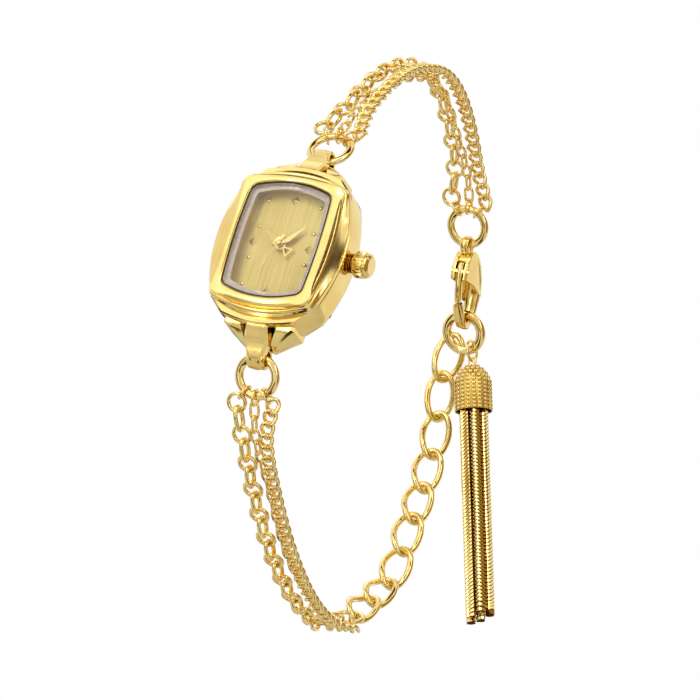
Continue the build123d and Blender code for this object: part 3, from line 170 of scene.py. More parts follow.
# Gold plated chain wire: tumbled bright, so it looks lighter than the case, with small rolling marks
chainGold = metal("tumbledGoldWire", "F9E29C", "F1CF7C", rough=(0.06, 0.11), grainMm=0.8, depth=0.01,
                  spotMm=2.5)
# Gaps between the ribs of a snake chain: painted shade, darkened brown where shade falls in the grooves
grooveShadeGold = metal("grooveShadePainted", "A87A34", "86581E", rough=(0.35, 0.5), grainMm=0.3, depth=0.1)
# Gold plate in sunk places: painted shade, the plating darkened and warmed as if shaded in its recess
recessShadeGold = metal("recessedGoldPaintedShade", "C58A3A", "96571F", rough=(0.2, 0.32), grainMm=0.25, depth=0.2)
# Gold plated ring round the dial: satin turned, with painted shade: olive all over, as it looks where it
# stands in its own shade
rehautShadeGold = metal("satinGoldWallShade", "BFA852", "A28C3C", rough=(0.25, 0.35), grainMm=0.15, depth=0.2,
                   stretch=(1, 6, 1))
# Cast and plated cap: matte gold pits between bright beads
castGold = metal("castGoldPlate", "E2BC58", "C6983A", rough=(0.22, 0.34), grainMm=0.3, depth=0.35)
# Nickel plated brass of the movement's plates: soft grey, grained one way
nickelPlate = metal("nickelPlatedBrass", "C6C5BF", "B5B4AD", rough=(0.25, 0.38), grainMm=0.3, depth=0.2,
                    stretch=(1, 1, 8))
# Polished steel of stem, springs and screws: cool grey and bright
polishedSteel = metal("polishedSteel", "C9C9CB", "B9BABD", rough=(0.12, 0.2), grainMm=0.2, depth=0.1)
# Turned brass of the wheels: bare yellow metal with a dull shine
wheelBrass = metal("turnedBrass", "D9B45F", "C79F49", rough=(0.2, 0.3), grainMm=0.2, depth=0.2)
# Enamelled copper wire, wound side by side: reddish, ribbed along the turns
copperWire = metal("enamelledCopperWinding", "C87845", "A85E33", rough=(0.25, 0.4), grainMm=0.12, depth=0.5,
                   stretch=(8, 1, 1))
# Moulded nylon of the movement holder: near black and dull
holderNylon = plastic("mouldedNylon", "2B2B2E", "1E1E21", rough=0.45, grainMm=0.4)
# Circuit board under solder mask: green lacquer with a wet shine
boardLaminate = plastic("solderMaskedLaminate", "1E6B3A", "15552C", rough=0.25, grainMm=0.5, coat=0.4)
# Nitrile rubber of the seals: black and matte
sealRubber = plastic("nitrileRubber", "202020", "141414", rough=0.6, grainMm=0.3)
# Glass gasket: moulded nylon, painted brown as a painted reflection of the gold beside it
gasketReflectionNylon = plastic("mouldedGasketNylonReflection", "6B5632", "503E20", rough=0.4, grainMm=0.3)
# Printed band under the glass edge: pinkish grey lacquer behind glass
bandLacquer = plastic("greyLacquerBand", "CDB9AE", "BDA79B", rough=0.25, grainMm=0.6, coat=0.5)

dialFinish = {
    "streakMm": (0.1, 0.1, 9.0), "cloudMm": 7.0, "cloudShare": 0.35, "metallic": 0.75,
    "stops": [(0.45, "B79C46"), (0.95, "E4D084")], "rough": (0.3, 0.48), "depth": 0.35,
}


def brushedDialMaterial():
    # Champagne dial, brushed from 12 to 6: the streaks are drawn wide enough to show
    material, tree, shader, place = newMaterial("brushedChampagneDial")
    scale = [mmPerMetre / size for size in dialFinish["streakMm"]]
    stretched = addNode(tree, "ShaderNodeMapping", Vector=place, Scale=scale).outputs["Vector"]
    streak = addNode(tree, "ShaderNodeTexNoise", Vector=stretched, Scale=1.0, Detail=4.0, Roughness=0.6)
    cloud = addNode(tree, "ShaderNodeTexNoise", Vector=place, Scale=mmPerMetre / dialFinish["cloudMm"],
                    Detail=1.0)
    mixed = addNode(tree, "ShaderNodeMath", {"operation": "MULTIPLY_ADD"}, i0=cloud.outputs[0],
                    i1=dialFinish["cloudShare"], i2=streak.outputs[0])
    colour = colourRamp(tree, mixed.outputs[0], dialFinish["stops"])
    shader.inputs["Metallic"].default_value = dialFinish["metallic"]
    dress(tree, shader, colour, streak.outputs[0], dialFinish["rough"], dialFinish["depth"],
          bumpReach["moulded"])
    return material


glassFinish = {"hazeMm": 3.0, "stops": [(0.3, "F6F6F0"), (0.7, "FDFDFA")], "ior": 1.45}


def glassMaterial():
    # Flat mineral glass: clear, hard and polished, with a trace of handling haze in its colour
    material, tree, shader, place = newMaterial("mineralGlass")
    haze = addNode(tree, "ShaderNodeTexNoise", Vector=place, Scale=mmPerMetre / glassFinish["hazeMm"],
                   Detail=2.0)
    colour = colourRamp(tree, haze.outputs[0], glassFinish["stops"])
    shader.inputs["Transmission Weight"].default_value = 1.0
    shader.inputs["Roughness"].default_value = 0.0
    shader.inputs["IOR"].default_value = glassFinish["ior"]
    tree.links.new(colour, shader.inputs["Base Color"])
    return material


dialChampagne = brushedDialMaterial()
mineralGlass = glassMaterial()
print("materials made")

# The camera's own three directions, and in millimetres where it aims and from how far
cameraSetting = {
    "right": (0.906, 0.311, 0.2877), "up": (-0.1414, -0.418, 0.8972), "back": (0.399, -0.8535, -0.335),
    "aimRight": 8.59, "aimUp": -12.8, "dialDepth": -5.3, "distance": 700.0,
    "lens": 288.0, "sensor": 36.0, "clip": (0.01, 20.0),
}
right, up, back = (Vector(cameraSetting[k]) for k in ("right", "up", "back"))
aim = Vector((0, cameraSetting["dialDepth"], 0))
aim = aim + right * cameraSetting["aimRight"] + up * cameraSetting["aimUp"]
cameraData = bpy.data.cameras.new("camera")
cameraData.lens = cameraSetting["lens"]
cameraData.sensor_width = cameraSetting["sensor"]
cameraData.clip_start, cameraData.clip_end = cameraSetting["clip"]
camera = addObject("camera", cameraData)
camera.matrix_world = axesAt((aim + back * cameraSetting["distance"]) * toMetres, right, up, back)
scene.camera = camera
scene.view_settings.view_transform = "Standard"

middle = Vector((0.0, 0.028, 0.0))  # of the whole watch, in metres


def facingWatch(way, reach):
    # way is given along the camera's right, up and back
    out = way[0] * right + way[1] * up + way[2] * back
    facing = out.to_track_quat("Z", "Y").to_matrix().to_4x4()
    return Matrix.Translation(middle + out.normalized() * reach) @ facing


# Lamps: reach and size in metres
lampSetting = {
    "keySoftbox": {"way": (-0.55, 0.75, 0.75), "reach": 0.9, "size": (0.9, 0.9), "watts": 1.05},
    "fillSoftbox": {"way": (0.95, 0.1, 0.55), "reach": 1.0, "size": (0.8, 0.8), "watts": 0.7},
    "rimSoftbox": {"way": (-0.2, 0.6, -0.9), "reach": 1.0, "size": (0.8, 0.8), "watts": 0.7},
    "stripLeft": {"way": (-0.7, 0.25, 0.7), "reach": 0.7, "size": (0.035, 0.6), "watts": 0.4},
    "stripRight": {"way": (0.6, 0.3, 0.8), "reach": 0.7, "size": (0.03, 0.6), "watts": 0.3},
    "stripTop": {"way": (0.05, 0.8, 0.6), "reach": 0.7, "size": (0.6, 0.03), "watts": 0.35},
}
for name, setting in lampSetting.items():
    lampData = bpy.data.lights.new(name, "AREA")
    lampData.shape = "RECTANGLE"
    lampData.size, lampData.size_y = setting["size"]
    lampData.energy = setting["watts"]
    lamp = addObject(name, lampData)
    lamp.matrix_world = facingWatch(setting["way"], setting["reach"])

# The world is a soft fill, and plain white to the camera and in metal and glass
worldSetting = {"fill": 0.7, "seen": 1.0}
world = bpy.data.worlds.new("studio")
scene.world = world
world.use_nodes = True
worldTree = world.node_tree
background = worldTree.nodes["Background"]
rays = addNode(worldTree, "ShaderNodeLightPath")
seen = rays.outputs["Is Camera Ray"]
for rayKind in ("Is Glossy Ray", "Is Transmission Ray"):
    seen = addNode(worldTree, "ShaderNodeMath", {"operation": "MAXIMUM"}, i0=seen,
                   i1=rays.outputs[rayKind]).outputs[0]
strength = addNode(worldTree, "ShaderNodeMapRange", Value=seen, To_Min=worldSetting["fill"],
                   To_Max=worldSetting["seen"])
worldTree.links.new(strength.outputs[0], background.inputs["Strength"])
background.inputs["Color"].default_value = (1, 1, 1, 1)

stagePaint = {"roughness": 0.9, "specular": 0.1}


def stagePlane(name, place, size, hexCode):
    material, _, shader, _ = newMaterial(name + "Paint")
    shader.inputs["Base Color"].default_value = linearColour(hexCode)
    shader.inputs["Roughness"].default_value = stagePaint["roughness"]
    shader.inputs["Specular IOR Level"].default_value = stagePaint["specular"]
    bm = bmesh.new()
    bmesh.ops.create_grid(bm, x_segments=1, y_segments=1, size=0.5)
    bmesh.ops.scale(bm, vec=(*size, 1), verts=bm.verts)
    bmesh.ops.transform(bm, matrix=place, verts=bm.verts)
    plane = addObject(name, meshFrom(bm, name))
    plane.data.materials.append(material)
    plane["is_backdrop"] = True
    return plane


floorSetting = {"height": -0.42, "size": (6, 6), "hex": "F4F4F2"}
stagePlane("floor", Matrix.Translation((0, 0, floorSetting["height"])), floorSetting["size"],
           floorSetting["hex"])

# Studio flags: brown boards that only the metal's reflections show
flagSetting = {
    "lowerFlag": {"way": (-0.1, -0.9, 0.5), "reach": 0.4, "size": (0.5, 0.16), "hex": "3A2810"},
    "sideFlag": {"way": (0.88, -0.1, 0.5), "reach": 0.45, "size": (0.3, 0.6), "hex": "B09156"},
    "leftFlag": {"way": (-0.95, -0.1, 0.25), "reach": 0.45, "size": (0.16, 0.6), "hex": "5A431F"},
    "topFlag": {"way": (0.1, 0.95, 0.1), "reach": 0.45, "size": (0.5, 0.12), "hex": "3A2810"},
    "rightFlag": {"way": (0.95, 0.1, -0.1), "reach": 0.45, "size": (0.3, 0.6), "hex": "A88850"},
    "frontFlag": {"way": (0.25, 0.55, 0.8), "reach": 0.5, "size": (0.3, 0.09), "hex": "4A3516"},
    "lowFrontFlag": {"way": (-0.45, -0.35, 0.8), "reach": 0.5, "size": (0.35, 0.08), "hex": "4A3516"},
    "backFlag": {"way": (-0.1, -0.2, -0.95), "reach": 0.5, "size": (0.3, 0.3), "hex": "3A2810"},
}
for name, setting in flagSetting.items():
    flag = stagePlane(name, facingWatch(setting["way"], setting["reach"]), setting["size"], setting["hex"])
    flag.visible_camera = flag.visible_diffuse = flag.visible_shadow = flag.visible_transmission = False
print("camera, lights and stage set")

mergeReach = 0.0005  # millimetres


def finishPiece(name, bm, place, body, materials, stands=(), sharpAngle=32, outward=True):
    # stands lists the CAD nodes that the piece replaces; edges past the sharp angle stay crisp
    if outward:
        bmesh.ops.remove_doubles(bm, verts=bm.verts, dist=mergeReach)
        bmesh.ops.recalc_face_normals(bm, faces=bm.faces)
    bmesh.ops.transform(bm, matrix=Matrix.Scale(toMetres, 4) @ place, verts=bm.verts)
    for face in bm.faces:
        face.smooth = True
    for edge in bm.edges:
        edge.smooth = len(edge.link_faces) != 2 or edge.calc_face_angle(0) < radians(sharpAngle)
    piece = addObject(name, meshFrom(bm, name))
    for material in materials:
        piece.data.materials.append(material)
    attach(piece, body)
    if stands:
        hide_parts(*stands)
    return piece


def finishGold(name, bm, place, body, stands, sharpAngle=32):
    finishPiece(name, bm, place, body, [polishedGold], stands, sharpAngle)


def vertsOf(geom):
    return [item for item in geom if isinstance(item, bmesh.types.BMVert)]


def skin(bm, loops, closed=False):
    # bridges each loop to the next and returns the faces of each band; open ends are filled
    following = loops[1:] + (loops[:1] if closed else [])
    bands = [bmesh.ops.bridge_loops(bm, edges=edges + nextEdges)["faces"]
             for edges, nextEdges in zip(loops, following)]
    if not closed:
        bmesh.ops.edgeloop_fill(bm, edges=loops[0])
        bmesh.ops.edgeloop_fill(bm, edges=loops[-1])
    return bands


def loopOf(bm, corners):
    verts = bmesh.ops.create_circle(bm, segments=len(corners), radius=1)["verts"]
    for vert, corner in zip(verts, corners):
        vert.co = corner
    return list(dict.fromkeys(edge for vert in verts for edge in vert.link_edges))


hairStep = 1e-5  # each loop sits a hair higher: two on one level would give bridge_loops no direction
tonneau = {
    # a high levelling keeps a run at its own height until close to its corners
    "cuts": {"side": 13, "end": 13, "facet": 3}, "cornerInset": 0.7, "levelling": 8, "tiny": 1e-6,
}


def tonneauLoop(bm, form, sideHeight, endHeight=None, inset=0.0):
    # straight runs between eight corners, subdivided and bowed into shallow arcs
    endHeight = sideHeight if endHeight is None else endHeight
    hair = hairStep * len(bm.verts)
    sideHeight, endHeight = sideHeight + hair, endHeight + hair
    meanHeight = (sideHeight + endHeight) / 2
    tiny, levelling = tonneau["tiny"], tonneau["levelling"]
    cornerInset = inset * tonneau["cornerInset"]
    halfWidth, halfLength = form["half"][0] - inset, form["half"][1] - inset
    sideX, sideY = form["side"][0] - inset, form["side"][1] - cornerInset
    endX, endY = form["end"][0] - cornerInset, form["end"][1] - inset
    corners = [(sideX, -sideY), (sideX, sideY), (endX, endY), (-endX, endY),
               (-sideX, sideY), (-sideX, -sideY), (-endX, -endY), (endX, -endY)]
    firstVert, firstEdge = len(bm.verts), len(bm.edges)
    runs = {"side": [], "end": [], "facet": []}
    for edge in loopOf(bm, [(x, y, meanHeight) for x, y in corners]):
        one, other = (vert.co for vert in edge.verts)
        kind = "side" if abs(one.x - other.x) < tiny else "end" if abs(one.y - other.y) < tiny else "facet"
        runs[kind].append(edge)
    for kind, cuts in tonneau["cuts"].items():
        bmesh.ops.subdivide_edges(bm, edges=runs[kind], cuts=cuts)
    bm.verts.ensure_lookup_table()
    bm.edges.ensure_lookup_table()
    for vert in bm.verts[firstVert:]:
        x, y = vert.co.x, vert.co.y
        if abs(abs(x) - sideX) < tiny:
            share = abs(y) / sideY
            vert.co.x += copysign(1, x) * (halfWidth - sideX) * (1 - share ** 2)
            vert.co.z = sideHeight + (meanHeight - sideHeight) * share ** levelling
        elif abs(abs(y) - endY) < tiny:
            share = abs(x) / endX
            vert.co.y += copysign(1, y) * (halfLength - endY) * (1 - share ** 2)
            vert.co.z = endHeight + (meanHeight - endHeight) * share ** levelling
        else:  # the facets swell where a form has round corners
            share = 2 * (abs(x) - endX) / (sideX - endX) - 1
            swell = form.get("round", 0) * (1 - share ** 2)
            vert.co += Vector((copysign(swell, x), copysign(swell, y), 0))
    return bm.edges[firstEdge:]


def insetLoops(bm, form, steps):
    return [tonneauLoop(bm, form, height, inset=inset) for inset, height in steps]


def ringLoop(bm, radius, height, segments, pattern=(0,)):
    # the pattern's depths repeat round the ring
    start = len(bm.edges)
    hair = hairStep * len(bm.verts)
    verts = bmesh.ops.create_circle(bm, segments=segments, radius=radius)["verts"]
    for index, vert in enumerate(verts):
        vert.co *= 1 - pattern[index % len(pattern)] / radius
        vert.co.z = height + hair
    bm.edges.ensure_lookup_table()
    return bm.edges[start:]


def lathe(bm, profile, segments, closed=False, place=None):
    # the profile gives radius and height
    start = len(bm.verts)
    skin(bm, [ringLoop(bm, radius, height, segments) for radius, height in profile], closed)
    if place is not None:
        bm.verts.ensure_lookup_table()
        bmesh.ops.transform(bm, matrix=place, verts=bm.verts[start:])


def signedPower(value, power):
    return copysign(abs(value) ** power, value)


def wireLink(length, width, wide, thick, steps=16, corners=8, twist=0.0, fullness=2.0):
    # a closed link of bent wire: a spun ring laid round an oval and twisted about its length
    bm = bmesh.new()
    profile = bmesh.ops.create_circle(bm, segments=corners, radius=1)["verts"]
    halfLength, halfWidth, power = (length - wide) / 2, (width - wide) / 2, 2 / fullness
    bmesh.ops.scale(bm, vec=(wide / 2, thick / 2, 1), verts=profile)
    bmesh.ops.rotate(bm, verts=profile, matrix=Matrix.Rotation(pi / 2, 3, "X"))
    bmesh.ops.translate(bm, verts=profile, vec=(halfWidth, 0, 0))
    bmesh.ops.rotate(bm, verts=profile, matrix=Matrix.Rotation(pi / steps, 3, "Z"))
    bmesh.ops.spin(bm, geom=bm.verts[:] + bm.edges[:], axis=(0, 0, 1), cent=(0, 0, 0), angle=2 * pi,
                   steps=steps, use_merge=True)
    for vert in bm.verts:  # the wire keeps its thickness on its way round the oval
        angle = atan2(vert.co.y, vert.co.x)
        out = hypot(vert.co.x, vert.co.y) - halfWidth
        run, rise = cos(angle), sin(angle)
        centre = Vector((signedPower(run, power) * halfLength, signedPower(rise, power) * halfWidth,
                         vert.co.z))
        slope = Vector((signedPower(run, 2 - power) / halfLength,
                        signedPower(rise, 2 - power) / halfWidth, 0))
        vert.co = centre + slope.normalized() * out
        if twist:
            vert.co = Matrix.Rotation(twist * sin(vert.co.x / (length / 2) * pi / 2), 3, "X") @ vert.co
    bmesh.ops.recalc_face_normals(bm, faces=bm.faces)
    return meshFrom(bm, "template")


def stamp(bm, template, place):
    start = len(bm.verts)
    bm.from_mesh(template)
    bm.verts.ensure_lookup_table()
    bmesh.ops.transform(bm, matrix=place, verts=bm.verts[start:])


def islandsOf(nodeName):
    # centre, long axis, normal and size of each loose solid of a CAD node, in millimetres
    bm = bmesh.new()
    bm.from_mesh(cadNodes[nodeName].data)
    bmesh.ops.remove_doubles(bm, verts=bm.verts, dist=1e-6)
    bm.verts.ensure_lookup_table()
    reached, found = set(), []
    for first in bm.verts:
        if first.index in reached:
            continue
        group, front = [], [first]
        reached.add(first.index)
        while front:
            vert = front.pop()
            group.append(vert.co / toMetres)
            for edge in vert.link_edges:
                other = edge.other_vert(vert)
                if other.index not in reached:
                    reached.add(other.index)
                    front.append(other)
        points = np.array(group, dtype=float)
        centre = points.mean(0)
        axes = np.linalg.eigh(np.cov((points - centre).T))[1]
        found.append({"centre": Vector(centre), "long": Vector(axes[:, 2]), "normal": Vector(axes[:, 0]),
                      "size": float(np.ptp((points - centre) @ axes[:, 2]))})
    bm.free()
    return found


# Outlines: half width and half length, and the corners where sides and ends meet the facets
caseForm = {"half": (8.9, 10.9), "side": (7.2, 8.1), "end": (5.2, 10.1)}
cavityForm = {"half": (6.95, 8.65), "side": (6.95, 6.5), "end": (4.8, 8.65)}
skirtForm = {"half": (8.75, 10.15), "side": (7.1, 8.05), "end": (6.72, 8.45)}
frameForm = {"half": (7.45, 9.15), "side": (6.95, 6.85), "end": (5.75, 8.28), "round": 0.2}
glassForm = {"half": (5.8, 7.91), "side": (5.56, 6.15), "end": (4.8, 7.06), "round": 0.12}

lugSetting = {
    # place along y, half width, top and underside
    "strap": [(9.7, 1.45, 5.7, 3.6), (10.85, 1.5, 5.62, 3.4), (11.2, 1.53, 5.4, 3.3), (11.9, 1.62, 4.85, 3.0),
              (12.4, 1.66, 4.4, 2.8), (12.65, 1.62, 4.17, 2.6), (13.6, 1.25, 3.75, 2.2),
              (14.4, 0.98, 3.32, 1.8), (14.9, 0.82, 2.85, 1.6), (15.2, 0.7, 2.3, 1.4), (15.3, 0.6, 1.9, 1.4)],
    # place along y, inner and outer side, top
    "wing": [(9.7, 2.2, 4.9, 5.0), (10.75, 2.15, 4.85, 4.95), (11.05, 2.05, 4.55, 4.75),
             (11.45, 1.85, 3.95, 4.45), (12.0, 1.6, 3.2, 3.9), (12.45, 1.4, 2.55, 3.4),
             (12.75, 1.3, 2.1, 2.95)],
    # place along y, half width, top
    "web": [(9.7, 4.9, 3.2), (10.7, 4.85, 3.2), (12.6, 2.0, 2.3)],
    "strapEdge": 0.3, "wingEdge": 0.38, "wingLow": 0.95, "webEdge": 0.1, "webLow": 1.0,
    "barrel": {"place": (13.8, 1.8), "bore": 0.97, "radius": 1.43, "halfWidth": 1.23, "boreEdge": 0.1,
               "rimEdge": 0.2, "segments": 32},
}


def boxLoop(bm, along, xLow, xHigh, top, bottom, edge):
    corners = [(xHigh, bottom + edge), (xHigh, top - edge), (xHigh - edge, top), (xLow + edge, top),
               (xLow, top - edge), (xLow, bottom + edge), (xLow + edge, bottom), (xHigh - edge, bottom)]
    return loopOf(bm, [(x, along, z) for x, z in corners])


def makeLug(bm):
    lug = lugSetting
    skin(bm, [boxLoop(bm, y, -half, half, top, low, lug["strapEdge"]) for y, half, top, low in lug["strap"]])
    for side in (-1, 1):
        skin(bm, [boxLoop(bm, y, *sorted((side * inner, side * outer)), top, lug["wingLow"], lug["wingEdge"])
                  for y, inner, outer, top in lug["wing"]])
    skin(bm, [boxLoop(bm, y, -half, half, top, lug["webLow"], lug["webEdge"]) for y, half, top in lug["web"]])
    barrel = lug["barrel"]
    half, bore, radius = barrel["halfWidth"], barrel["bore"], barrel["radius"]
    boreEdge, rimEdge = barrel["boreEdge"], barrel["rimEdge"]
    profile = [(bore + boreEdge, -half), (radius - rimEdge, -half), (radius, -half + rimEdge),
               (radius, half - rimEdge), (radius - rimEdge, half), (bore + boreEdge, half),
               (bore, half - boreEdge), (bore, -half + boreEdge)]
    place = axesAt((0, barrel["place"][0], barrel["place"][1]), (0, 1, 0), (0, 0, 1), (1, 0, 0))
    lathe(bm, profile, barrel["segments"], closed=True, place=place)


caseSetting = {
    # inset and height up the outside
    "outside": [(0.86, 0.93), (0.7, 0.95), (0.45, 1.25), (0.12, 1.68), (0.02, 2.0), (0.0, 2.4), (0.0, 5.55),
                (0.05, 5.78), (0.2, 5.9)],
    # form and height down the inside
    "inside": [(glassForm, 5.9), (glassForm, 5.32), (cavityForm, 5.32), (cavityForm, 0.93)],
}


def makeCase():
    bm = bmesh.new()
    makeLug(bm)
    opposite = bmesh.ops.duplicate(bm, geom=bm.verts[:] + bm.edges[:] + bm.faces[:])["geom"]
    bmesh.ops.scale(bm, vec=(1, -1, 1), verts=vertsOf(opposite))
    loops = insetLoops(bm, caseForm, caseSetting["outside"])
    loops += [tonneauLoop(bm, form, height) for form, height in caseSetting["inside"]]
    skin(bm, loops, closed=True)
    finishGold("midCase", bm, dialFrame, "case", ["mid_case"])


# Share of the way to the next form, half width, half length, height on the sides, height at the ends
bezelSetting = {
    "skirtToFrame": [
        (0, 8.75, 10.15, 5.92, 5.92), (0, 8.75, 10.15, 6.24, 6.28), (0.03, 8.71, 10.11, 6.36, 6.4),
        (0.08, 8.6, 10.0, 6.42, 6.46), (0.25, 8.2, 9.78, 6.68, 6.5), (0.3, 8.1, 9.7, 6.74, 6.56),
        (0.32, 8.06, 9.67, 6.765, 6.8), (0.4, 7.98, 9.62, 6.81, 6.9), (0.5, 7.86, 9.5, 6.87, 6.95),
        (0.65, 7.7, 9.3, 6.94, 6.93), (0.75, 7.6, 9.22, 6.98, 6.86), (0.82, 7.53, 9.18, 7.0, 6.84),
        (0.92, 7.47, 9.15, 7.03, 6.95), (0.97, 7.45, 9.14, 7.17, 7.2), (1, 7.42, 9.12, 7.32, 7.38),
        (1, 7.33, 9.06, 7.43, 7.53), (1, 7.18, 8.95, 7.52, 7.63), (1, 6.95, 8.8, 7.61, 7.71)],
    "frameToGlass": [
        (0.15, 6.68, 8.62, 7.69, 7.77), (0.4, 6.38, 8.42, 7.75, 7.8), (0.65, 6.13, 8.23, 7.78, 7.79),
        (0.85, 5.95, 8.07, 7.74, 7.74), (0.95, 5.85, 7.97, 7.66, 7.65), (1, 5.81, 7.92, 7.54, 7.54),
        (1, 5.8, 7.91, 5.92, 5.92)],
    "sharpAngle": 38,
}


def between(form, other, share, halfWidth, halfLength):
    blend = {"half": (halfWidth, halfLength), "round": other["round"] * share}
    for corner in ("side", "end"):
        blend[corner] = [a + (b - a) * share for a, b in zip(form[corner], other[corner])]
    return blend


def makeBezel():
    bm = bmesh.new()
    loops = []
    for form, other, way in ((skirtForm, frameForm, "skirtToFrame"), (frameForm, glassForm, "frameToGlass")):
        loops += [tonneauLoop(bm, between(form, other, *step[:3]), *step[3:]) for step in bezelSetting[way]]
    skin(bm, loops, closed=True)
    finishGold("bezelFrame", bm, dialFrame, "case", ["bezel"], bezelSetting["sharpAngle"])


# Inset from the glass form, and height
glassSetting = {
    "watchGlass": [(0.12, 6.77), (0.12, 7.45), (0.2, 7.62), (0.36, 7.72), (0.6, 7.75)],
    "glassGasket": [(0.02, 6.77), (0.02, 7.42), (0.1, 7.42), (0.1, 6.77)],
    "glassBand": [(0.1, 6.7), (0.1, 6.75), (0.84, 6.75), (0.86, 6.73), (0.84, 6.7)],
    "flangeRing": [(0.05, 5.31), (0.05, 6.68), (0.62, 6.68), (0.66, 6.64), (0.68, 5.31)],
    "glassSharpAngle": 50,
}


def makeGlass():
    bm = bmesh.new()
    skin(bm, insetLoops(bm, glassForm, glassSetting["watchGlass"]))
    glass = finishPiece("watchGlass", bm, dialFrame, "case", [mineralGlass], ["crystal"],
                        glassSetting["glassSharpAngle"])
    glass.visible_shadow = False
    # the gasket's brown is a painted reflection of the gold beside it
    rings = [("glassGasket", gasketReflectionNylon, "edge_gasket", ["crystal_gasket"]),
             ("glassBand", bandLacquer, "edge_gasket", ()),
             # the flange ring carries the dial wall's painted shade
             ("flangeRing", rehautShadeGold, "polished_gold", ["dial_ring"])]
    for name, material, slot, stands in rings:
        bm = bmesh.new()
        skin(bm, insetLoops(bm, glassForm, glassSetting[name]), closed=True)
        finishPiece(name, bm, dialFrame, "case", [material], stands)


markerSetting = {
    "height": 5.3, "sharpAngle": 25,
    "pyramids": [(0, 6.25), (0, -6.25), (3.8, 0), (-3.8, 0)],
    "pyramidRadius": 0.66, "pyramidTip": 0.02, "pyramidRise": 0.3,
    "dots": [(3.75, 2.15), (3.75, -2.15), (-3.75, 2.15), (-3.75, -2.15),
             (3.55, 5.75), (3.55, -5.75), (-3.55, 5.75), (-3.55, -5.75)],
    "dotRadius": 0.29, "dotRise": 0.2, "dotLift": 0.005, "dotSegments": 16, "dotRings": 10,
}


def makeMarkers():
    setting = markerSetting
    bm = bmesh.new()
    for x, y in setting["pyramids"]:
        place = Matrix.Translation((x, y, setting["height"] + setting["pyramidRise"] / 2))
        bmesh.ops.create_cone(bm, cap_ends=True, segments=4, radius1=setting["pyramidRadius"],
                              radius2=setting["pyramidTip"], depth=setting["pyramidRise"], matrix=place)
    for x, y in setting["dots"]:
        dome = bmesh.ops.create_uvsphere(bm, u_segments=setting["dotSegments"],
                                         v_segments=setting["dotRings"], radius=setting["dotRadius"])["verts"]
        bmesh.ops.scale(bm, vec=(1, 1, setting["dotRise"] / setting["dotRadius"]), verts=dome)
        for vert in dome:
            vert.co.z = max(vert.co.z, 0)
        bmesh.ops.translate(bm, vec=(x, y, setting["height"] + setting["dotLift"]), verts=dome)
    bmesh.ops.dissolve_degenerate(bm, edges=bm.edges, dist=0.0001)
    finishGold("hourMarkers", bm, dialFrame, "case", ["dial_markers"], setting["sharpAngle"])


# Angles are degrees clockwise from 12
handSetting = {
    "hour": {"angle": 303.8, "height": 5.73, "length": 2.9, "width": 1.3, "tail": 0.74, "hub": 0.78,
             "collar": 0.37},
    "minute": {"angle": 45.6, "height": 6.03, "length": 4.0, "width": 1.1, "tail": 0.6, "hub": 0.45,
               "collar": 0.1},
    "blade": {"bellyShare": 0.3, "ridge": 0.16, "edge": 0.01, "tip": 0.02, "hubEdge": 0.07, "hubTop": 0.12,
              "hubSegments": 32, "sharpAngle": 8},
    "openTail": {"from": -0.35, "reach": 1.9, "width": 1.5, "wall": 0.2, "low": 0.03, "thick": 0.08},
    # place along y, half width, thickness
    "second": {"angle": 200.0, "height": 6.33,
               "needle": [(-1.2, 0.17, 0.1), (-0.45, 0.17, 0.1), (-0.35, 0.06, 0.09), (0, 0.06, 0.09),
                          (4.4, 0.03, 0.06)],
               "hub": [(0.3, -0.02), (0.3, 0.06), (0.24, 0.11), (0.12, 0.12)], "hubSegments": 24},
}


def handPlace(setting):
    turn = Matrix.Rotation(-radians(setting["angle"]), 4, "Z")
    return dialFrame @ turn @ Matrix.Translation((0, 0, setting["height"]))


def dauphine(bm, setting):
    # a four sided pyramid pulled into a long kite has two polished slopes on each side of its ridge
    blade = handSetting["blade"]
    kite = bmesh.ops.create_cone(bm, cap_ends=True, segments=4, radius1=1, radius2=0, depth=0.1)["verts"]
    belly = setting["length"] * blade["bellyShare"]
    for vert in kite:
        x, y = vert.co.x, vert.co.y
        if abs(x) < 0.01 and abs(y) < 0.01:
            vert.co = (0, belly, blade["ridge"])
        elif abs(x) > abs(y):
            vert.co = (copysign(setting["width"] / 2, x), belly, blade["edge"])
        else:
            vert.co = (0, setting["length"] if y > 0 else -setting["tail"], blade["tip"])
    hub, hubEdge = setting["hub"], blade["hubEdge"]
    lathe(bm, [(hub, -setting["collar"]), (hub, hubEdge), (hub - hubEdge, blade["hubTop"])],
          blade["hubSegments"])


def makeHands():
    bm = bmesh.new()
    sharpAngle = handSetting["blade"]["sharpAngle"]
    dauphine(bm, handSetting["hour"])
    tail = handSetting["openTail"]
    half, reach, low = tail["width"] / 2, tail["reach"], tail["low"]
    corners = [(0, tail["from"], low), (-half, -reach, low), (half, -reach, low)]
    face = bmesh.ops.edgeloop_fill(bm, edges=loopOf(bm, corners))["faces"]
    rim = bmesh.ops.inset_region(bm, faces=face, thickness=tail["wall"], use_boundary=True,
                                 use_even_offset=True)["faces"]
    bmesh.ops.delete(bm, geom=face, context="FACES_ONLY")
    raised = bmesh.ops.extrude_face_region(bm, geom=rim)["geom"]
    bmesh.ops.translate(bm, vec=(0, 0, tail["thick"]), verts=vertsOf(raised))
    finishGold("hourHand", bm, handPlace(handSetting["hour"]), "hours", ["hour_hand"], sharpAngle)

    bm = bmesh.new()
    dauphine(bm, handSetting["minute"])
    finishGold("minuteHand", bm, handPlace(handSetting["minute"]), "minutes", ["minute_hand"], sharpAngle)

    bm = bmesh.new()
    second = handSetting["second"]
    skin(bm, [loopOf(bm, [(half, y, 0), (half, y, thick), (-half, y, thick), (-half, y, 0)])
              for y, half, thick in second["needle"]])
    lathe(bm, second["hub"], second["hubSegments"])
    finishGold("secondHand", bm, handPlace(second), "seconds", ["second_hand"])


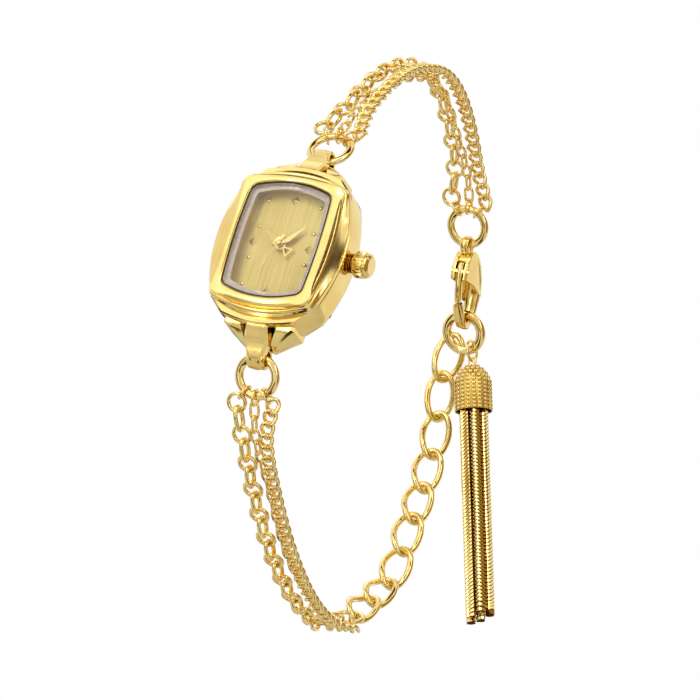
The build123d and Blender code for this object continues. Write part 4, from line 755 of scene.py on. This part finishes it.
crownSetting = {
    "flutes": 20, "fluteDepth": 0.17, "sharpAngle": 28,
    # place along the axis, radius and, on the outside, whether it is fluted
    "bore": [(10.38, 1.09), (9.55, 1.09)],
    "outside": [(9.52, 1.3, 0), (9.52, 1.45, 0), (9.6, 1.62, 1), (9.75, 1.7, 1), (10.78, 1.7, 1),
                (10.88, 1.6, 1), (10.92, 1.42, 0), (10.99, 1.42, 0), (11.02, 1.52, 0), (11.1, 1.56, 0),
                (11.32, 1.53, 0), (11.58, 1.26, 0), (11.64, 1.15, 0), (11.62, 1.0, 0), (11.63, 0.3, 0)],
    "neck": [(6.97, 0.66), (6.97, 0.98), (8.93, 0.98), (8.95, 1.24), (9.1, 1.24), (9.13, 1.0), (9.22, 1.0),
             (9.25, 1.14), (9.34, 1.14), (9.37, 0.98), (10.3, 0.98), (10.3, 0.66)],
    "neckSegments": 32,
}


def makeCrown():
    bm = bmesh.new()
    depth = crownSetting["fluteDepth"]
    flute = (0, 0, depth, depth)
    segments = crownSetting["flutes"] * len(flute)
    loops = [ringLoop(bm, radius, place, segments) for place, radius in crownSetting["bore"]]
    loops += [ringLoop(bm, radius, place, segments, flute if fluted else (0,))
              for place, radius, fluted in crownSetting["outside"]]
    skin(bm, loops)
    finishGold("flutedCrown", bm, crownFrame, "crown", ["crown"], crownSetting["sharpAngle"])
    bm = bmesh.new()
    profile = [(radius, place) for place, radius in crownSetting["neck"]]
    lathe(bm, profile, crownSetting["neckSegments"], closed=True)
    # the crown's neck is painted in the recess shade
    finishPiece("crownNeck", bm, crownFrame, "case", [recessShadeGold], ["crown_tube"])


makeCase()
makeBezel()
makeGlass()
makeMarkers()
makeHands()
makeCrown()
print("watch head made")

# Links of bent wire: wide is the wire's size in the link's plane and thick across it
chainSetting = {
    "roundLink": {"length": 2.85, "width": 2.85, "wide": 0.5, "thick": 0.62, "steps": 18},
    "ovalLink": {"length": 3.66, "width": 2.3, "wide": 0.5, "thick": 0.62, "steps": 18, "fullness": 2.3},
    "curbLink": {"length": 2.72, "width": 2.1, "wide": 0.56, "thick": 0.56, "steps": 16, "twist": pi / 4.5,
                 "fullness": 2.2},
    "cableLink": {"length": 2.66, "width": 1.5, "wide": 0.37, "thick": 0.37, "steps": 14, "corners": 6,
                  "fullness": 2.5},
    "extensionLink": {"length": 7.3, "width": 4.4, "wide": 0.88, "thick": 0.84, "steps": 32, "corners": 12,
                      "twist": -0.5, "fullness": 2.15},
    "tieRing": {"length": 2.4, "width": 2.4, "wide": 0.4, "thick": 0.36, "steps": 18},
    "joiningRing": {"length": 4.6, "width": 4.6, "wide": 0.7, "thick": 0.6, "steps": 32, "corners": 12},
}
linkMesh = {name: wireLink(**setting) for name, setting in chainSetting.items()}
wireSharpAngle = 60
bundle = {"reach": 1.5, "flare": 1.1, "links": 4}


def finishWire(name, bm, body, stands=()):
    finishPiece(name, bm, Matrix(), body, [chainGold], stands, wireSharpAngle, False)


def placeOf(island):
    return alongAt(island["centre"], island["long"], island["normal"])


def flatNormal(along):
    return along.cross(across).normalized()


def chainOrder(links):
    # from the link nearest the case, each time to the nearest one left
    left = sorted(links, key=lambda link: link["centre"].y)
    ordered = [left.pop(0)]
    while left:
        here = ordered[-1]["centre"]
        left.sort(key=lambda link: (link["centre"] - here).length)
        ordered.append(left.pop(0))
    last = len(ordered) - 1
    for index, link in enumerate(ordered):  # the strands draw together a few links from their rings
        fromEnd = max(0, 1 - min(index, last - index) / bundle["links"])
        reach = bundle["reach"] + bundle["flare"] * fromEnd ** 2
        link["centre"].x = copysign(min(abs(link["centre"].x), reach), link["centre"].x)
    for index, link in enumerate(ordered):
        link["long"] = ordered[min(index + 1, last)]["centre"] - ordered[max(index - 1, 0)]["centre"]
    return ordered


def makeStrand(half, kind, linkNames, flat):
    # the named links take turns along the strand; flat ones lie with the bracelet's width
    nodeName = f"{half}_{kind}_chain"
    bm = bmesh.new()
    for index, link in enumerate(chainOrder(islandsOf(nodeName))):
        if flat:
            link["normal"] = flatNormal(link["long"])
        stamp(bm, linkMesh[linkNames[index % len(linkNames)]], placeOf(link))
    finishWire(f"{half}{kind.capitalize()}Chain", bm, "bracelet", [nodeName])


for half in ("upper", "lower"):
    makeStrand(half, "belcher", ("roundLink", "ovalLink"), flat=False)
    makeStrand(half, "curb", ("curbLink",), flat=True)
    makeStrand(half, "cable", ("cableLink",), flat=False)

joiningSize = 4  # millimetres; the tie rings are smaller
bm = bmesh.new()
for ring in islandsOf("strand_rings"):
    stamp(bm, linkMesh["joiningRing" if ring["size"] > joiningSize else "tieRing"], placeOf(ring))
finishWire("tieRings", bm, "bracelet", ["strand_rings"])

# Outer size and wire of each ring, by the CAD node that it replaces
ringSetting = {"upper_lug_ring": (6.2, 1.05), "lower_lug_ring": (6.1, 1.1), "clasp_ring": (6.0, 1.05),
               "end_ring": (6.3, 1.3)}
ringFlatness, ringSteps, ringCorners = 0.85, 48, 16


def makeRing(nodeName, body, template):
    bm = bmesh.new()
    stamp(bm, template, placeOf(islandsOf(nodeName)[0]))
    words = nodeName.title().replace("_", "")
    finishWire(words[0].lower() + words[1:], bm, body, [nodeName])


for nodeName, (outer, wire) in ringSetting.items():
    makeRing(nodeName, "bracelet", wireLink(outer, outer, wire, wire * ringFlatness, ringSteps, ringCorners))

# Rolled by degrees to the photograph's angle; links above a height stand aside, clear of the cap's swing
extensionSetting = {"roll": -25, "aside": -0.3, "asideAbove": 4}
bm = bmesh.new()
for link in sorted(islandsOf("extension_chain"), key=lambda link: -link["centre"].z):
    along = link["long"] if link["long"].z < 0 else -link["long"]
    normal = Matrix.Rotation(radians(extensionSetting["roll"]), 3, along) @ flatNormal(along)
    aside = extensionSetting["aside"] if link["centre"].z > extensionSetting["asideAbove"] else 0
    stamp(bm, linkMesh["extensionLink"], alongAt(link["centre"] + across * aside, along, normal))
finishWire("extensionChain", bm, "extension", ["extension_chain"])
print("chains and rings made")

# Lobster clasp, drawn with x from eye to hook, y to the inside of the loop and z across
claspSetting = {
    "origin": (0, 47.53137, 27.4248), "x": (0, 0.62421, -0.78126), "y": (0, -0.78126, -0.62421),
    "z": (-1, 0, 0), "centre": 7.52, "reach": 5.0, "side": 2.42,
    "corners": 14, "squareness": 0.75, "sharpAngle": 45,
    # degrees round the oval, with 0 farthest from the eye, then half width and half thickness
    "hook": [(74, 0.48, 0.58), (67, 0.56, 0.72), (45, 0.57, 0.74), (22, 0.57, 0.74), (0, 0.57, 0.74),
             (-25, 0.57, 0.76), (-50, 0.57, 0.9), (-75, 0.57, 1.15), (-100, 0.57, 1.28), (-125, 0.57, 1.28),
             (-150, 0.57, 1.2), (-172, 0.57, 0.95), (-188, 0.57, 0.95), (-205, 0.57, 1.1)],
    "lever": [(142, 0.4, 0.42), (135, 0.52, 0.47), (110, 0.52, 0.47), (92, 0.5, 0.48), (80, 0.48, 0.48),
              (76, 0.42, 0.42)],
    "plate": {"fromAngle": 112, "toAngle": 286, "points": 14, "reach": 5.4, "side": 2.85, "inner": 0.68,
              "thick": 0.5, "edge": 0.16, "hollow": [(8.3, -1.7), (6.9, -0.2), (6.2, 1.2)]},
    "eye": {"length": 2.6, "width": 2.6, "wide": 0.55, "thick": 1.2, "steps": 28, "corners": 12},
    "eyeCentre": 1.3,
    # the root between eye and hook: place along x, half width, half thickness
    "root": [(2.2, 0.5, 0.6), (2.5, 0.75, 0.6), (2.75, 0.9, 0.75), (3.2, 1.3, 1.1)],
}
claspFrame = axesAt(*(claspSetting[k] for k in ("origin", "x", "y", "z")))


def claspSection(bm, angle, halfWidth, halfThick):
    # a rounded section across the oval midline
    clasp = claspSetting
    here = Vector((clasp["centre"] + clasp["reach"] * cos(angle), clasp["side"] * sin(angle), 0))
    along = Vector((-clasp["reach"] * sin(angle), clasp["side"] * cos(angle), 0)).normalized()
    out = Vector((along.y, -along.x, 0))
    points = []
    for corner in range(clasp["corners"]):
        turn = 2 * pi * corner / clasp["corners"]
        outShare = signedPower(cos(turn), clasp["squareness"])
        acrossShare = signedPower(sin(turn), clasp["squareness"])
        points.append(here + out * (halfWidth * outShare) + Vector((0, 0, halfThick * acrossShare)))
    return loopOf(bm, points)


def bentBar(bm, stations):
    skin(bm, [claspSection(bm, radians(angle), halfWidth, halfThick)
              for angle, halfWidth, halfThick in stations])


def claspEye(bm):
    stamp(bm, wireLink(**claspSetting["eye"]), Matrix.Translation((claspSetting["eyeCentre"], 0, 0)))
    skin(bm, [loopOf(bm, [(x, half, thick), (x, -half, thick), (x, -half, -thick), (x, half, -thick)])
              for x, half, thick in claspSetting["root"]])


def sidePlates(bm):
    # leaf shaped plates each side of the lever, from the eye to past the middle of the spine
    plate = claspSetting["plate"]
    angles = np.linspace(radians(plate["fromAngle"]), radians(plate["toAngle"]), plate["points"])
    outline = [(claspSetting["centre"] + plate["reach"] * cos(angle), plate["side"] * sin(angle))
               for angle in angles]
    outline += plate["hollow"]
    for side in (-1, 1):
        leaf = loopOf(bm, [(x, y, side * plate["inner"]) for x, y in outline])
        face = bmesh.ops.edgeloop_fill(bm, edges=leaf)["faces"]
        raised = bmesh.ops.extrude_face_region(bm, geom=face)["geom"]
        bmesh.ops.translate(bm, vec=(0, 0, side * plate["thick"]), verts=vertsOf(raised))
        rim = [item for item in raised if isinstance(item, bmesh.types.BMEdge)]
        bmesh.ops.bevel(bm, geom=rim, offset=plate["edge"], segments=3, profile=0.5, affect="EDGES",
                        material=-1)


def makeClasp():
    bm = bmesh.new()
    bentBar(bm, claspSetting["hook"])
    sidePlates(bm)
    claspEye(bm)
    finishGold("claspBody", bm, claspFrame, "bracelet", ["clasp_body"], claspSetting["sharpAngle"])
    bm = bmesh.new()
    bentBar(bm, claspSetting["lever"])
    finishGold("claspLever", bm, claspFrame, "clasp_lever", ["clasp_lever"], claspSetting["sharpAngle"])


# Tassel, drawn with z down its axis from the cap's top
tasselSetting = {
    "origin": (1.85541, 57.7821, 12.97778), "x": (0.95708, -0.18091, 0.22643),
    "z": (0.26095, 0.19797, -0.94483),
    # radius and distance down the axis, first outside and then inside
    "capProfile": [(0.3, -0.1), (0.7, 0.0), (1.2, 0.35), (1.75, 0.95), (2.2, 1.6), (2.43, 2.3), (2.46, 6.3),
                   (2.5, 6.36), (2.5, 6.4), (2.38, 6.4), (2.34, 5.4), (2.2, 2.4), (1.2, 1.9), (0.3, 1.85)],
    "capSegments": 32,
    # height, radius and count of each row of beads on the dome, then on the wall
    "domeRows": [(0.2, 0.95, 8), (0.65, 1.5, 12), (1.2, 1.95, 15), (1.78, 2.24, 18)],
    "wallHeights": [2.35, 2.9, 3.45, 4.0, 4.55, 5.1, 5.65, 6.15], "wallRow": (2.47, 18),
    "bead": {"radius": 0.3, "segments": 8, "rings": 5, "squash": (0.5, 1.1, 0.9, 1), "sharpAngle": 50},
    "eye": {"length": 1.4, "width": 1.4, "wide": 0.3, "thick": 0.28, "steps": 20, "corners": 8},
    "eyeHeight": -0.55,
    "ring": {"length": 3.2, "width": 3.2, "wide": 0.42, "thick": 0.4, "steps": 32, "corners": 10},
}
tasselZ = Vector(tasselSetting["z"]).normalized()
tasselX = Vector(tasselSetting["x"]).normalized()
tasselFrame = axesAt(tasselSetting["origin"], tasselX, tasselZ.cross(tasselX), tasselZ)


def makeCap():
    bm = bmesh.new()
    lathe(bm, tasselSetting["capProfile"], tasselSetting["capSegments"])
    finishPiece("tasselCap", bm, tasselFrame, "tassel", [castGold], ["tassel_cap"])

    bead = tasselSetting["bead"]
    bm = bmesh.new()
    bmesh.ops.create_uvsphere(bm, u_segments=bead["segments"], v_segments=bead["rings"],
                              radius=bead["radius"])
    beadMesh = meshFrom(bm, "bead")
    bm = bmesh.new()
    wallRows = [(height, *tasselSetting["wallRow"]) for height in tasselSetting["wallHeights"]]
    for height, radius, count in tasselSetting["domeRows"] + wallRows:
        for index in range(count):
            turn = Matrix.Rotation(2 * pi * index / count, 4, "Z")
            squash = Matrix.Diagonal(bead["squash"])
            stamp(bm, beadMesh, turn @ Matrix.Translation((radius, 0, height)) @ squash)
    finishPiece("capBeads", bm, tasselFrame, "tassel", [polishedGold], (),
                bead["sharpAngle"], False)

    bm = bmesh.new()
    eyePlace = tasselFrame @ axesAt((0, 0, tasselSetting["eyeHeight"]), (0, 0, 1), (1, 0, 0), (0, 1, 0))
    stamp(bm, wireLink(**tasselSetting["eye"]), eyePlace)
    finishWire("tasselEye", bm, "tassel")
    makeRing("tassel_ring", "tassel", wireLink(**tasselSetting["ring"]))


snakeSetting = {
    "chains": 7, "fromAxis": 1.45, "radius": 0.7, "corners": 8, "cornerDepth": 0.16, "turn": 0.7,
    # the middle chain starts higher in the cap than the outer ones
    "middleTop": 2.3, "outerTop": 4.45, "end": 35.85,
    # a rib is full up to its second station and waisted at the third
    "rib": 0.5, "stations": (0, 0.72, 0.86), "waist": 0.72, "slant": 0.5, "chevron": 1.6, "squareRows": 9,
    # above the mouth the cap hides the chains, and they are slimmer
    "mouth": 5.8, "neck": 0.82, "sharpAngle": 50,
}


def makeSnakeChain(number):
    # ribs are slanted on odd numbers and chevrons on even ones
    snake = snakeSetting
    radius, rib, stations = (snake[k] for k in ("radius", "rib", "stations"))
    offset, top = Vector((0, 0, 0)), snake["middleTop"]
    if number:
        angle = (number - 1) * pi / 3
        offset = Vector((snake["fromAxis"] * cos(angle), snake["fromAxis"] * sin(angle), 0))
        top = snake["outerTop"]
    ribs = int((snake["end"] - top - snake["slant"] * radius) / rib) - number * 3 % 4  # uneven ends
    lastRow = len(stations) * ribs
    lean = snake["slant"] * (1 if number % 2 else -1)
    girth = (1, 1, snake["waist"])
    bm = bmesh.new()
    loops = []
    for row in range(lastRow + 1):
        whole, station = divmod(row, len(stations))
        neck = snake["neck"] if top + whole * rib < snake["mouth"] else 1
        slope = lean * min(1, (lastRow - row) / snake["squareRows"])  # none at the square cut end
        swell = radius * neck * girth[station]
        edges = ringLoop(bm, swell, 0, snake["corners"], (0, swell * snake["cornerDepth"]))
        for vert in {vert for edge in edges for vert in edge.verts}:
            sideways = vert.co.x + vert.co.y if number % 2 else snake["chevron"] * abs(vert.co.x)
            vert.co.z = top + (whole + stations[station]) * rib + sideways / swell * radius * slope
        loops.append(edges)
    # the bands running into and out of each waist carry the grooves' painted shade
    for row, band in enumerate(skin(bm, loops)):
        for face in band if row % len(stations) else ():
            face.material_index = 1
    turn = Matrix.Rotation(number * snake["turn"], 4, "Z")
    bmesh.ops.transform(bm, matrix=Matrix.Translation(offset) @ turn, verts=bm.verts)
    finishPiece(f"snakeChain{number}", bm, tasselFrame, f"tassel_chain_{number}" if number else "tassel",
                [chainGold, grooveShadeGold], [f"tassel_chain_{number}"], snake["sharpAngle"])


makeClasp()
makeCap()
for number in range(snakeSetting["chains"]):
    makeSnakeChain(number)
print("clasp and tassel made")

# Materials of the CAD nodes that stay
nodeMaterials = {
    polishedGold: ["case_back", "clasp_rivet"],
    dialChampagne: ["dial"],
    nickelPlate: ["main_plate", "train_bridge"],
    polishedSteel: ["stator", "battery", "battery_strap", "movement_screws", "setting_lever", "crown_stem",
                    "clutch_pinion", "rotor", "clasp_spring"],
    wheelBrass: ["centre_wheel", "hour_wheel", "second_wheel", "third_wheel", "minute_wheel",
                 "intermediate_wheel"],
    copperWire: ["coil"],
    holderNylon: ["movement_holder"],
    boardLaminate: ["circuit_board"],
    sealRubber: ["case_back_gasket", "stem_gasket"],
}
for material, names in nodeMaterials.items():
    for name in names:
        slots = cadNodes[name].material_slots
        if not slots:
            cadNodes[name].data.materials.append(material)
        for entry in slots:
            entry.material = material
print("hidden parts dressed")

bpy.context.view_layer.update()
for box in (cadBounds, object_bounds()):
    print("bounds", [[round(value, 5) for value in corner] for corner in box])
